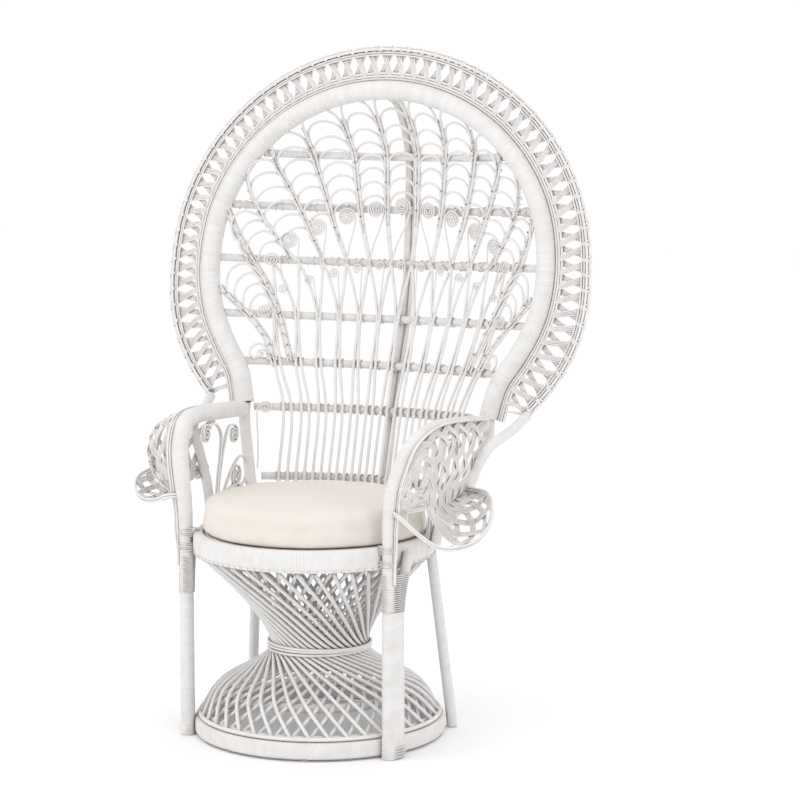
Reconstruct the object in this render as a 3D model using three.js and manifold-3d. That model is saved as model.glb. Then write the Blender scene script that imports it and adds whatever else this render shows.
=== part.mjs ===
// A peacock chair in painted rattan: an hourglass base of crossing poles, a round seat with a loose
// cushion, arms with woven wings and a tall hooped back with a laced border and a fan of reeds.
// Millimetres, +Z up, the sitter faces -Y. The origin is on the floor below the middle of the chair.
import * as THREE from "three";
import { mergeVertices } from "three/addons/utils/BufferGeometryUtils.js";
import Module from "manifold-3d";

const wasm = await Module();
wasm.setup();

// Clearance between pieces that touch, are nailed or are lashed together.
const seatGap = 0.35;
// Faces narrower than this are merged after pieces are joined or cut.
const sliver = 0.12;
const fullTurn = 2 * Math.PI;
const degree = Math.PI / 180;

// Overall depth places the seat ring at the front and the spine at the rear.
const overallDepth = 749.3;

// Seat.
const seatRingRadius = 262;
const seatRingThickness = 25;
const seatRingBottom = 402;
const seatRingHeight = 45;
const seatRingCorner = 9;
const seatY = seatRingRadius - overallDepth / 2;
const seatTop = seatRingBottom + seatRingHeight;
const deckThickness = 8;
const deckDrop = 1;
const cushionRadius = 251;
const cushionHeight = 72;
const cushionSideDraw = 7;

// Front posts, arms and the poles beside them.
const postRadius = 14.5;
const postAzimuth = 61 * degree;
const armRadius = 18.5;
const armX = 284;
const armHeight = 680;
const armSwellShares = { from: 0.42, to: 0.62 };
const armRearY = 120;
const secondPoleRadius = 11;
const mergeHeight = 330;

// Base.
const baseY = -92;
const glideHeight = 4;
const glideRadius = 9;
const glideTaper = 2;
const glideAzimuth = 20 * degree;
const baseBandThickness = 20;
const baseBandHeight = 36;
const baseBandCorner = 7;

// Hourglass of poles.
const poleRadius = 4;
const poleCount = 40;
const poleHoopRadius = 5;
const waistRadius = 103;
const poleTopRadius = 248;
const poleTopDrop = 3.55;
const poleSteps = 6;
const waistHeight = 194;
const shoulderHeight = 104;
const shoulderRadius = 221;
const shoulderHoopRadius = 10;
const upperTwist = -63 * degree;
const shoulderTwist = 56 * degree;
const footTwist = 67.5 * degree;
const poleLayer = 11;
const poleConeShare = 0.35;
const poleConeTwistShare = 0.72;
const poleBellShare = 0.36;
const poleBellTwistShare = 0.69;
const hoopSlack = 1.6;
const bindingReedRadius = 2.7;
const bindingSlack = 5.5;
const shoulderSlack = 0.7;
const bindingReeds = 3;
const bindingPitch = 5.2;

// Rear legs.
const rearLegRadius = 11.5;
const rearLegTopAzimuth = 121.5 * degree;
const rearLegTopRadius = 251;
const rearLegFootAzimuth = 120.5 * degree;
const rearLegSlack = 1.2;
const secondPoleAzimuth = 73 * degree;
const poleSlack = 0.2 * degree;
const rearArmAzimuth = 125 * degree;
const wingPoleAzimuth = 96 * degree;

// Back: everything here is measured in the leaning plane of the hoop, x across and s up the plane.
const backLean = Math.atan(0.153);
const backFootY = 24.1;
const hoopHalfWidth = 414;
const hoopTop = 1398;
const hoopWidestHeight = 1011.5;
const hoopRadius = 21.5;
const hoopEndHeight = 685;
const hoopEndHalfWidth = 302;
const lowestHeight = 520;
const lowestHalfWidth = 264;
const borderSide = 98.9;
const borderTop = 93.4;
const rimWidestDrop = 11.5;
const rimHalfWidth = hoopHalfWidth + borderSide;
const rimTop = hoopTop + borderTop;
const rimWidestHeight = hoopWidestHeight - rimWidestDrop;
const rimReedRadius = 6.5;
const rimEndRise = 9;
const rimEndReach = 90;
const rimEndHeight = hoopEndHeight + rimEndRise;
const rimEndHalfWidth = hoopEndHalfWidth + rimEndReach;
const edgingRadius = 3.6;
const edgingStandoff = 34;
const laceRadius = 3.4;
const laceCorner = 8.3;
const laceGap = 0.6;
const rimFlatness = 0.5;
const laceSamples = 900;
const laceFigures = 88;
const laceEndShare = 0.026;

// Rungs of the back, from the top one down, and the spine behind them.
const rungRadius = 9;
const deepestBow = 160.4;
const rungRise = 9;
const crownFullness = 1.5;
const slopeStep = 8;
const spineSlack = 0.6;
const rungHeightShares = [0.897, 0.812, 0.7244, 0.6338, 0.5572, 0.4834, 0.372];
const rungBowShares = [0.81, 0.92, 0.985, 0.955, 0.83, 0.72, 0.6];
const spineRadius = 10;
const thinSpineRadius = 5;
const rungShares = [-1, -0.8, -0.5, -0.2, 0, 0.2, 0.5, 0.8, 1];
const crownSpineShares = [0.3, 0.65];

// Fan of reeds in front of the rungs.
const stakeRadius = 3;
const stakeCount = 26;
const fanSlack = 1;
const lashedShare = 0.7;
const stakeLeanShares = { sixth: 0.25, fifth: 0.7, opening: 0.4 };
const stakePitch = 17.6;
const groupPitch = 47;
const nodePitch = 54;
const crownPitch = 71;
const crownSide = 5;
const crownFirstAngle = 90 * degree;
const crownAngleStep = 16.2 * degree;
const crownLift = 9;
const crownBendShare = 0.8;
const scallopShares = [
  { spring: 0.36, crest: 0.56 },
  { spring: 0.62, crest: 0.85 },
];
const crestShare = 0.35;
const scallopQuarterShares = [0.22, 0.78];
const scrollShare = 0.34;
const tailShare = 0.06;
const smallScrollDrop = 150;
const largeScrollRadius = 19;
const smallScrollRadius = 11.5;
const scrollThickness = 5;

// Wings and the scrollwork under the arms.
const wingThickness = 4;
const wingRimRadius = 4.8;
const rimSlack = 1;
const wingReach = 428;
const wingMouthHeight = 525;
const wingRimRise = 85;
const rightWingDrop = 75;
const leftWingDrop = 25;
const wingRearY = -34;
const wingSwell = 105;
const weaveSlack = 1.2;
const weaveCounts = { along: 8, across: 6 };
const weaveHoleShare = 0.58;
const mouthShares = { along: 0.36, across: 0.45 };
const hangFromShare = 0.2;
const sheetStep = 0.001;
const wingAwayShares = [0.8, -0.35, 0.45];
const wingFromShare = 0.44;
const wingToShare = 0.97;
const curlTurns = 1.3;
const curlCloseShare = 0.8;
const wingEdgeReedRadius = 3.4;
const wingPoleRadius = 11;
const rearArmRadius = 13;
const scrollReedRadius = 3.4;

// How finely each kind of piece is divided.
const fine = { ring: 36, cushion: 32 };
const rimSteps = 38;
const edgingSteps = 36;

const white = { color: 0xece9e6, roughness: 0.55, metalness: 0 };
const cream = { color: 0xece6de, roughness: 0.9, metalness: 0 };
const wrapped = { color: 0xe7e3e0, roughness: 0.6, metalness: 0 };

const chair = new THREE.Group();

function addMesh(name, shape, look, parent = chair) {
  const geometry = shape.isBufferGeometry ? shape : geometryOf(shape);
  const mesh = new THREE.Mesh(geometry, new THREE.MeshStandardMaterial(look));
  mesh.name = name;
  parent.add(mesh);
  return mesh;
}

// Solids for joining and cutting.
function solidOf(geometry) {
  const bare = geometry.clone();
  bare.deleteAttribute("normal");
  bare.deleteAttribute("uv");
  const merged = mergeVertices(bare);
  return new wasm.Manifold(
    new wasm.Mesh({
      numProp: 3,
      vertProperties: merged.attributes.position.array,
      triVerts: new Uint32Array(merged.index.array),
    }),
  );
}

function geometryOf(solid) {
  const mesh = solid.getMesh();
  const geometry = new THREE.BufferGeometry();
  geometry.setAttribute("position", new THREE.BufferAttribute(mesh.vertProperties, mesh.numProp));
  geometry.setIndex(new THREE.BufferAttribute(mesh.triVerts, 1));
  return geometry;
}

const joined = (solids) => wasm.Manifold.union(solids).simplify(sliver);

// The piece that is left when its neighbours, grown by the clearance, are cut away.
function fitted(solid, neighbours) {
  const cut = neighbours.reduce((rest, other) => rest.subtract(other), solid);
  const bodies = cut.simplify(sliver).decompose();
  return bodies.reduce((most, part) => (part.volume() > most.volume() ? part : most));
}

function blend(from, to, share) {
  return from + (to - from) * share;
}

// Rods: a round section swept along a smooth path.
const smooth = (points) => new THREE.CatmullRomCurve3(points);

function rod(path, radius, sides, steps, swell = null) {
  return { path, radius, sides, steps, swell };
}

// A rod may swell: swell gives the share of its radius at each step along its path.
function rodGeometry({ path, radius, sides, steps, swell }, extra = 0) {
  const corner = (_, i) => new THREE.Vector2(
    (radius + extra) * Math.cos((fullTurn * i) / sides),
    (radius + extra) * Math.sin((fullTurn * i) / sides),
  );
  const section = new THREE.Shape(Array.from({ length: sides }, corner));
  const geometry = new THREE.ExtrudeGeometry(section, { steps, extrudePath: path });
  if (!swell) return geometry;
  const centres = path.getSpacedPoints(steps);
  const places = geometry.getAttribute("position");
  const place = new THREE.Vector3();
  for (let i = 0; i < places.count; i += 1) {
    place.fromBufferAttribute(places, i);
    const distances = centres.map((centre) => centre.distanceTo(place));
    const nearest = distances.indexOf(Math.min(...distances));
    place.sub(centres[nearest]).multiplyScalar(swell(nearest / steps)).add(centres[nearest]);
    places.setXYZ(i, place.x, place.y, place.z);
  }
  return geometry;
}

const rodSolid = (spec) => solidOf(rodGeometry(spec));
const grownRod = (spec, slack = seatGap) => solidOf(rodGeometry(spec, slack));

// Rings: a closed outline of [radius, height] points turned round the vertical axis at y.
function ringGeometry(outline, y, segments) {
  const profile = outline.map(([radius, height]) => new THREE.Vector2(radius, height));
  return new THREE.LatheGeometry(profile, segments).rotateX(Math.PI / 2).translate(0, y, 0);
}

function bandOutline(outer, thickness, bottom, height, corner) {
  const inner = outer - thickness;
  const top = bottom + height;
  return [
    [outer - corner, bottom],
    [outer, bottom + corner],
    [outer, top - corner],
    [outer - corner, top],
    [inner, top],
    [inner, bottom],
    [outer - corner, bottom],
  ];
}

function roundOutline(centreRadius, centreHeight, radius, sides) {
  return Array.from({ length: sides + 1 }, (_, i) => [
    centreRadius + radius * Math.cos((fullTurn * i) / sides),
    centreHeight + radius * Math.sin((fullTurn * i) / sides),
  ]);
}

// A point at an azimuth from the front, towards +X, round a vertical axis at y.
function around(radius, azimuth, height, y) {
  return new THREE.Vector3(radius * Math.sin(azimuth), y - radius * Math.cos(azimuth), height);
}

// Post, arm, second pole and base sizes that follow from the seat ring.
const postFoot = around(seatRingRadius + postRadius + seatGap, postAzimuth, 0, seatY);
const baseRadius = Math.hypot(postFoot.x, postFoot.y - baseY) - postRadius - seatGap;
const baseBandTop = glideHeight + baseBandHeight;

// The arm leaves the post straight up, leans out and runs back to the hoop. Shares of
// [outward reach, depth back to the hoop, height].
const armShares = [
  [0, 0, 0],
  [0, 0, 0.33],
  [0, 0, 0.65],
  [0.04, 0, 0.74],
  [0.22, 0, 0.83],
  [0.52, 0.04, 0.907],
  [0.74, 0.11, 0.96],
  [0.95, 0.2, 0.988],
  [1, 0.36, 1],
  [0.95, 0.6, 0.995],
  [1.2, 0.85, 0.985],
  [1.45, 1, 0.975],
];
const armPath = smooth(
  armShares.map(([out, back, up]) => new THREE.Vector3(
    postFoot.x + out * (armX - postFoot.x),
    postFoot.y + back * (armRearY - postFoot.y),
    up * armHeight,
  )),
);

// Hoop plane.
function onBack(x, depth, s) {
  return new THREE.Vector3(
    x,
    backFootY + depth * Math.cos(backLean) + s * Math.sin(backLean),
    s * Math.cos(backLean) - depth * Math.sin(backLean),
  );
}

// Half of an arch: a quarter ellipse above its widest height and a hand drawn run below it,
// as shares of [half width between end and widest, height between end and widest].
const hoopLegShares = [
  [0, 0],
  [0.14, 0.2],
  [0.34, 0.31],
  [0.58, 0.45],
  [0.8, 0.6],
  [0.94, 0.76],
];
const rimLegShares = [
  [0, 0],
  [0.12, 0.05],
  [0.3, 0.12],
  [0.54, 0.27],
  [0.79, 0.45],
  [0.96, 0.68],
];
const quarterSteps = 6;

function halfArch(halfWidth, top, widest, endHalf, endHeight, legShares) {
  const leg = legShares.map(([x, s]) => [
    endHalf + x * (halfWidth - endHalf),
    endHeight + s * (widest - endHeight),
  ]);
  const quarter = Array.from({ length: quarterSteps + 1 }, (_, i) => {
    const angle = (Math.PI / 2) * (i / quarterSteps);
    return [halfWidth * Math.cos(angle), widest + (top - widest) * Math.sin(angle)];
  });
  return [...leg, ...quarter];
}

// A whole arch from its right end over the top to its left end, flat in its plane as x and s and
// grown outwards there.
function flatArch(half, outwards) {
  const left = half.slice(0, -1).reverse().map(([x, s]) => [-x, s]);
  const flat = smooth([...half, ...left].map(([x, s]) => new THREE.Vector3(x, 0, s)));
  const count = 2 * half.length;
  return smooth(Array.from({ length: count + 1 }, (_, i) => {
    const tangent = flat.getTangentAt(i / count);
    const away = new THREE.Vector3(tangent.z, 0, -tangent.x);
    return flat.getPointAt(i / count).addScaledVector(away, outwards);
  }));
}

const archPath = (flat) => smooth(flat.points.map((point) => onBack(point.x, 0, point.z)));

const hoopHalf = halfArch(
  hoopHalfWidth, hoopTop, hoopWidestHeight, hoopEndHalfWidth, hoopEndHeight, hoopLegShares,
);
const rimHalf = halfArch(
  rimHalfWidth, rimTop, rimWidestHeight, rimEndHalfWidth, rimEndHeight, rimLegShares,
);
const rimFlat = flatArch(rimHalf, 0);
const edgingFlat = flatArch(hoopHalf, edgingStandoff);
const hoopPath = archPath(flatArch(hoopHalf, 0));
const rimPath = archPath(rimFlat);
const edgingPath = archPath(edgingFlat);

// Half width at a height up the plane, of the hoop's centre line or the posts below its ends.
function hoopHalfAt(s) {
  if (s >= hoopWidestHeight) {
    const rise = Math.min(1, (s - hoopWidestHeight) / (hoopTop - hoopWidestHeight));
    return hoopHalfWidth * Math.sqrt(1 - rise * rise);
  }
  const outline = [[lowestHalfWidth, lowestHeight], ...hoopHalf];
  const above = outline.findIndex((point) => point[1] > s);
  if (above <= 0) return lowestHalfWidth;
  const [x0, s0] = outline[above - 1];
  const [x1, s1] = outline[above];
  return x0 + ((x1 - x0) * (s - s0)) / (s1 - s0);
}

const rungs = rungHeightShares.map((share, i) => ({
  s: share * hoopTop,
  bow: deepestBow * rungBowShares[i],
}));

// How far the back bows at a height, between one rung and the next.
function bowAt(s) {
  const below = rungs.findIndex((rung) => rung.s <= s);
  if (below === 0) {
    const share = (s - rungs[0].s) / (hoopTop - rungs[0].s);
    return rungs[0].bow * (1 - Math.min(1, share) ** crownFullness);
  }
  if (below < 0) return rungs[rungs.length - 1].bow;
  const upper = rungs[below - 1];
  const lower = rungs[below];
  return lower.bow + ((upper.bow - lower.bow) * (s - lower.s)) / (upper.s - lower.s);
}

// A point of the bowed back, moved off the rungs' centre surface towards the sitter.
function onFan(x, s, offset) {
  const depthAt = (across, up) => bowAt(up) * (1 - Math.min(1, Math.abs(across) / hoopHalfAt(up)) ** 2);
  const depth = depthAt(x, s);
  const slopeX = (depthAt(x + slopeStep, s) - depthAt(x - slopeStep, s)) / (2 * slopeStep);
  const slopeS = (depthAt(x, s + slopeStep) - depthAt(x, s - slopeStep)) / (2 * slopeStep);
  const length = Math.hypot(slopeX, slopeS, 1);
  const share = Math.min(1, Math.abs(x) / hoopHalfAt(s));
  const rise = rungRise * (1 - share * share);
  return onBack(
    x + (slopeX / length) * offset,
    depth - offset / length,
    s + rise + (slopeS / length) * offset,
  );
}

// Seat.
function makeSeat() {
  const ring = bandOutline(
    seatRingRadius, seatRingThickness, seatRingBottom, seatRingHeight, seatRingCorner,
  );
  addMesh("seat_ring", ringGeometry(ring, seatY, fine.ring), wrapped);
  const deckRadius = seatRingRadius - seatRingThickness - seatGap;
  const deckTop = seatTop - deckDrop;
  const deck = [
    [0, deckTop - deckThickness],
    [deckRadius, deckTop - deckThickness],
    [deckRadius, deckTop],
    [0, deckTop],
  ];
  addMesh("seat_deck", ringGeometry(deck, seatY, fine.ring), white);
}

// Cushion: flat below, drawn in at the middle of its side, crowned above.
const cushionShares = [
  [0, 0, 0],
  [0.965, 0, 0],
  [1, 0.14, 0],
  [1, 0.36, 0.7],
  [1, 0.5, 1],
  [1, 0.66, 0.7],
  [1, 0.82, 0],
  [0.975, 0.93, 0],
  [0.9, 0.975, 0],
  [0.6, 0.995, 0],
  [0, 1, 0],
];

function makeCushion() {
  const bottom = seatTop + seatGap;
  const outline = cushionShares.map(([across, up, drawn]) => [
    across * cushionRadius - drawn * cushionSideDraw,
    bottom + up * cushionHeight,
  ]);
  addMesh("seat_cushion", ringGeometry(outline, seatY, fine.cushion), cream);
}

// Base ring, its glides, the shoulder hoop and the waist binding.
function makeBase() {
  const band = bandOutline(baseRadius, baseBandThickness, glideHeight, baseBandHeight, baseBandCorner);
  addMesh("base_ring", ringGeometry(band, baseY, fine.ring), wrapped);
  const rearAzimuth = fullTurn / 2 - glideAzimuth;
  const glidePlaces = {
    front_left: -glideAzimuth, front_right: glideAzimuth, rear_left: -rearAzimuth, rear_right: rearAzimuth,
  };
  for (const [place, azimuth] of Object.entries(glidePlaces)) {
    const height = glideHeight - seatGap;
    const glide = new THREE.CylinderGeometry(glideRadius, glideRadius - glideTaper, height, 8);
    glide.rotateX(Math.PI / 2);
    const mesh = addMesh("glide_" + place, glide, wrapped);
    mesh.position.copy(around(baseRadius - baseBandThickness / 2, azimuth, height / 2, baseY));
  }
}

// Route of one pole of the hourglass from the seat down to the base, at one turn round the axis.
// Each station is [radius, twist, height, axis y]; the inner layer lies closer to the axis.
function poleRoute(turn, hand, inward) {
  const topHeight = seatRingBottom - poleTopDrop;
  const footHeight = baseBandTop + seatGap + poleHoopRadius;
  const footRadius = baseRadius - baseBandCorner - poleHoopRadius;
  const stations = [
    [poleTopRadius, upperTwist, topHeight, seatY],
    [
      blend(waistRadius, poleTopRadius, poleConeShare),
      upperTwist * poleConeTwistShare,
      (waistHeight + topHeight) / 2,
      (seatY + baseY) / 2,
    ],
    [waistRadius, 0, waistHeight, baseY],
    [
      blend(waistRadius, shoulderRadius, poleBellShare),
      shoulderTwist * poleBellTwistShare,
      (waistHeight + shoulderHeight) / 2,
      baseY,
    ],
    [shoulderRadius, shoulderTwist, shoulderHeight, baseY],
    [footRadius, footTwist, footHeight, baseY],
  ];
  return smooth(stations.map(([radius, twist, height, y], i) => {
    const [before] = stations.slice(Math.max(0, i - 1));
    const [after] = stations.slice(Math.min(stations.length - 1, i + 1));
    const run = Math.hypot(after[0] - before[0], after[2] - before[2]);
    const inwards = (before[2] - after[2]) / run;
    const upwards = (before[0] - after[0]) / run;
    const isEnd = i === 0 || i === stations.length - 1;
    const radial = isEnd ? inward / inwards : inward * inwards;
    const lift = isEnd ? 0 : inward * upwards;
    return around(radius - radial, turn + hand * twist, height + lift, y);
  }));
}

// One layer of the hourglass: its poles and the thin hoop at the foot that they are nailed to.
function poleLayerSolid(hand, inward) {
  const poles = Array.from({ length: poleCount }, (_, i) => {
    const route = poleRoute((fullTurn * i) / poleCount, hand, inward);
    return rodSolid(rod(route, poleRadius, 3, poleSteps));
  });
  const foot = poleRoute(0, hand, inward).getPoint(1);
  const outline = roundOutline(Math.hypot(foot.x, foot.y - baseY), foot.z, poleHoopRadius, 4);
  return joined([solidOf(ringGeometry(outline, baseY, poleCount)), ...poles]);
}

function makeHourglass() {
  addMesh("outer_poles", poleLayerSolid(1, 0), white);
  addMesh("inner_poles", poleLayerSolid(-1, poleLayer), white);
  const flat = (point) => [Math.hypot(point.x, point.y - baseY), point.z];
  const bell = poleRoute(0, 1, poleLayer).getSpacedPoints(poleSteps).map(flat);
  const [before, middle, after] = bell.slice(poleSteps - 2);
  const run = Math.hypot(after[0] - before[0], after[1] - before[1]);
  const standoff = shoulderHoopRadius + poleRadius + shoulderSlack;
  const hoopCentre = middle[0] + ((after[1] - before[1]) / run) * standoff;
  const hoopHeight = middle[1] - ((after[0] - before[0]) / run) * standoff;
  const shoulder = roundOutline(hoopCentre, hoopHeight, shoulderHoopRadius, 5);
  addMesh("shoulder_hoop", ringGeometry(shoulder, baseY, fine.ring), wrapped);
}

// Stacked reeds bind the poles at the waist.
function makeBinding() {
  const bindingCentre = waistRadius + poleRadius + bindingSlack + bindingReedRadius;
  const height = waistHeight - (bindingReeds * bindingPitch) / 2;
  const outer = bindingCentre + bindingReedRadius;
  const crests = Array.from({ length: bindingReeds }, (_, i) => [
    [outer, height + (i + 1 / 2) * bindingPitch],
    [bindingCentre, height + (i + 1) * bindingPitch],
  ]).flat();
  const inner = bindingCentre - bindingReedRadius;
  const binding = [
    [inner, height],
    [bindingCentre, height],
    ...crests,
    [inner, height + bindingReeds * bindingPitch],
    [inner, height],
  ];
  addMesh("waist_binding", ringGeometry(binding, baseY, 24), wrapped);
}

// The members of one side that others are fitted to, for the right side.
const armSwell = (share) => {
  const rise = THREE.MathUtils.smoothstep(share, armSwellShares.from, armSwellShares.to);
  return blend(1, armRadius / postRadius, rise);
};
const armRod = rod(armPath, postRadius, 6, 20, armSwell);
const hoopRod = rod(hoopPath, hoopRadius, 7, 34);
const rimRod = rod(rimPath, rimReedRadius, 4, rimSteps);

// The post behind the arm runs from the hoop's end down to the side of the seat ring, as shares of
// [across, along, down] between those two.
const rearArmShares = [
  [0, 0, 0],
  [0, 0.03, 0.16],
  [0.24, 0.28, 0.42],
  [0.5, 0.55, 0.68],
  [0.8, 0.83, 0.87],
  [1, 1, 1],
];
const rearArmFoot = around(
  seatRingRadius + rearArmRadius + seatGap, rearArmAzimuth, seatRingBottom + seatRingHeight / 2, seatY,
);
const rearArmTop = hoopPath.getPoint(0).addScaledVector(hoopPath.getTangent(0), -seatGap);
const rearArmRod = rod(between(rearArmTop, rearArmFoot, rearArmShares), rearArmRadius, 8, 8);

// The pole behind the wing runs from the rim's end down to the side of the seat ring.
const wingPoleShares = [
  [0, 0, 0],
  [0.1, 0.28, 0.1],
  [0.25, 0.62, 0.2],
  [0.48, 0.72, 0.4],
  [0.75, 0.85, 0.62],
  [0.94, 0.97, 0.83],
  [1, 1, 1],
];
const wingPoleFoot = around(
  seatRingRadius + wingPoleRadius + seatGap, wingPoleAzimuth, seatRingBottom + seatRingHeight / 2, seatY,
);
const wingPoleTop = rimPath.getPoint(0).addScaledVector(rimPath.getTangent(0), -seatGap);
const wingPoleRod = rod(between(wingPoleTop, wingPoleFoot, wingPoleShares), wingPoleRadius, 8, 10);

function between(start, end, shares) {
  const reach = end.clone().sub(start);
  return smooth(shares.map(([x, y, z]) => start.clone().add(new THREE.Vector3(x, y, z).multiply(reach))));
}

function makeArm(side) {
  addSide(side, "arm_post", fitted(rodSolid(armRod), [grownRod(hoopRod)]), wrapped);
}

function addSide(side, name, shape, look) {
  const mesh = addMesh(name + "_" + side.name, shape, look);
  mesh.scale.x = side.hand;
  return mesh;
}

// The second pole is lashed to the post's rear side, against the base ring, and parts from the
// post below the seat.
function secondPoleRod() {
  const postReach = baseRadius + postRadius + seatGap;
  const reach = baseRadius + secondPoleRadius + seatGap;
  const apart = postRadius + secondPoleRadius + seatGap;
  const turn = Math.acos((postReach ** 2 + reach ** 2 - apart ** 2) / (2 * postReach * reach));
  const azimuth = Math.atan2(postFoot.x, baseY - postFoot.y) + turn + poleSlack;
  const foot = around(reach + hoopSlack, azimuth, 0, baseY);
  const seatPoint = around(
    seatRingRadius + secondPoleRadius + seatGap, secondPoleAzimuth, seatTop - seatRingHeight / 3, seatY,
  );
  const merge = foot.clone().setZ(mergeHeight);
  const low = foot.clone().setZ(mergeHeight / 2);
  return rod(smooth([foot, low, merge, seatPoint]), secondPoleRadius, 8, 8);
}

function rearLegRod() {
  const topHeight = seatRingBottom - seatGap;
  const top = around(rearLegTopRadius, rearLegTopAzimuth, topHeight, seatY);
  const reach = baseRadius + rearLegRadius + seatGap;
  const touch = around(reach + rearLegSlack, rearLegFootAzimuth, baseBandTop, baseY);
  const foot = touch.clone().addScaledVector(
    touch.clone().sub(top), baseBandTop / (topHeight - baseBandTop),
  );
  return rod(smooth([foot, touch, top]), rearLegRadius, 8, 4);
}

function makePoles(side) {
  addSide(side, "second_pole", rodSolid(secondPoleRod()), wrapped);
  const floor = new THREE.BoxGeometry(armX * 2, armX * 2, armX);
  floor.translate(armX, 0, -armX / 2);
  const ceiling = new THREE.BoxGeometry(armX * 2, armX * 2, armX);
  ceiling.translate(armX, 0, seatRingBottom - seatGap + armX / 2);
  const leg = fitted(rodSolid(rearLegRod()), [solidOf(floor), solidOf(ceiling)]);
  addSide(side, "rear_leg", leg, wrapped);
  const rearArm = fitted(rodSolid(rearArmRod), [grownRod(hoopRod), grownRod(armRod)]);
  addSide(side, "rear_arm_post", rearArm, wrapped);
  addSide(side, "wing_pole", fitted(rodSolid(wingPoleRod), [grownRod(rimRod)]), wrapped);
}

// Hoop, triple rim reed, inner edging reed and the lace that winds between them.
function makeHoop() {
  addMesh("back_hoop", rodSolid(hoopRod), wrapped);
  addMesh("border_rim", rodSolid(rimRod), white);
  addMesh("border_edging", rodSolid(rod(edgingPath, edgingRadius, 3, edgingSteps)), white);
  addMesh("border_lace", laceGeometry(), white);
}

// A point at a share of the way along straight chords.
function onChords(points, share) {
  const place = share * (points.length - 1);
  const i = Math.min(points.length - 2, Math.floor(place));
  return points[i].clone().lerp(points[i + 1], place - i);
}

// The lace is one zigzag reed in the plane of the hoop, its corners against the edging and the rim.
function laceGeometry() {
  const steps = laceFigures * 2;
  const edgingPoints = edgingFlat.getSpacedPoints(edgingSteps);
  const rimPoints = rimFlat.getSpacedPoints(rimSteps);
  const rimSamples = Array.from({ length: laceSamples + 1 }, (_, i) => onChords(rimPoints, i / laceSamples));
  const corners = Array.from({ length: steps + 1 }, (_, i) => {
    const at = blend(laceEndShare, 1 - laceEndShare, i / steps);
    const inner = onChords(edgingPoints, at);
    const outer = rimSamples.reduce((best, point) => (
      point.distanceToSquared(inner) < best.distanceToSquared(inner) ? point : best
    ));
    const outwards = outer.clone().sub(inner).normalize();
    const isInner = i % 2 === 0;
    const reach = (isInner ? edgingRadius : rimReedRadius - rimFlatness) + laceGap + laceCorner;
    const point = isInner ? inner : outer.clone();
    return { outwards, point: point.addScaledVector(outwards, isInner ? reach : -reach) };
  });
  const edgePoint = (i, across) => {
    const { point, outwards } = corners[i];
    const moved = point.clone().addScaledVector(outwards, across);
    return onBack(moved.x, 0, moved.z);
  };
  const surface = (u, v) => {
    const i = Math.min(steps - 1, Math.floor(u * steps));
    const across = blend(-laceCorner, laceCorner, v);
    return edgePoint(i, across).lerp(edgePoint(i + 1, across), u * steps - i);
  };
  return thickSheet(surface, steps, 1, 2 * laceRadius);
}

// Rungs bow back between the two sides of the hoop.
function rungPath(rung) {
  const half = hoopHalfAt(rung.s);
  return smooth(rungShares.map((share) => onFan(share * half, rung.s, 0)));
}

function makeRungs() {
  const seats = [grownRod(hoopRod)];
  const lower = [grownRod(rearArmRod), mirrored(grownRod(rearArmRod))];
  rungs.forEach((rung, i) => {
    const isLow = rung.s < hoopEndHeight;
    const body = rodSolid(rod(rungPath(rung), rungRadius, 6, 12));
    addMesh("rung_" + (i + 1), fitted(body, isLow ? [...seats, ...lower] : seats), wrapped);
  });
}

const mirrored = (solid) => solid.mirror([1, 0, 0]);

// The spine and a thinner pole stand behind the rungs and end behind the seat ring.
function spinePath(radius, x) {
  const behind = -(rungRadius + radius + seatGap + spineSlack);
  const crownHeights = crownSpineShares.map((share) => blend(hoopTop, rungs[0].s, share));
  const heights = [...crownHeights, ...rungs.map((rung) => rung.s)];
  const points = heights.map((s) => onFan(0, s, behind).setX(x));
  const top = onBack(x, hoopRadius, hoopTop - rungRise);
  const seat = new THREE.Vector3(x, seatY + seatRingRadius + radius + seatGap, seatTop - seatRingHeight);
  return smooth([top, ...points, seat]);
}

function makeSpine() {
  const seats = [grownRod(hoopRod)];
  const beside = spineRadius + thinSpineRadius + seatGap;
  const main = rodSolid(rod(spinePath(spineRadius, 0), spineRadius, 6, 20));
  addMesh("back_spine", fitted(main, seats), wrapped);
  const thin = rodSolid(rod(spinePath(thinSpineRadius, beside), thinSpineRadius, 4, 20));
  addMesh("thin_spine", fitted(thin, seats), white);
}

// Stakes rise from the lowest rung, close up in pairs at the fourth rung from the top and part
// again to meet their neighbours at the third.
const fanOffset = rungRadius + stakeRadius + seatGap;
const groupCount = stakeCount / 2;

function stakePoints(i) {
  const centred = i - (stakeCount - 1) / 2;
  const group = Math.floor(i / 2);
  const groupX = (group - (groupCount - 1) / 2) * groupPitch;
  const nodeX = (group - (groupCount - 1) / 2 + (i % 2 ? 1 : -1) / 2) * nodePitch;
  const pairX = groupX + (i % 2 ? 1 : -1) * stakeRadius * lashedShare;
  const rows = [
    [centred * stakePitch, rungs[6].s],
    [blend(centred * stakePitch, pairX, stakeLeanShares.sixth), rungs[5].s],
    [blend(centred * stakePitch, pairX, stakeLeanShares.fifth), rungs[4].s],
    [pairX, rungs[3].s],
    [blend(pairX, nodeX, stakeLeanShares.opening), (rungs[3].s + rungs[2].s) / 2],
    [nodeX, rungs[2].s],
  ];
  return rows.map(([x, s]) => onFan(x, s, fanOffset + fanSlack));
}

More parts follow.
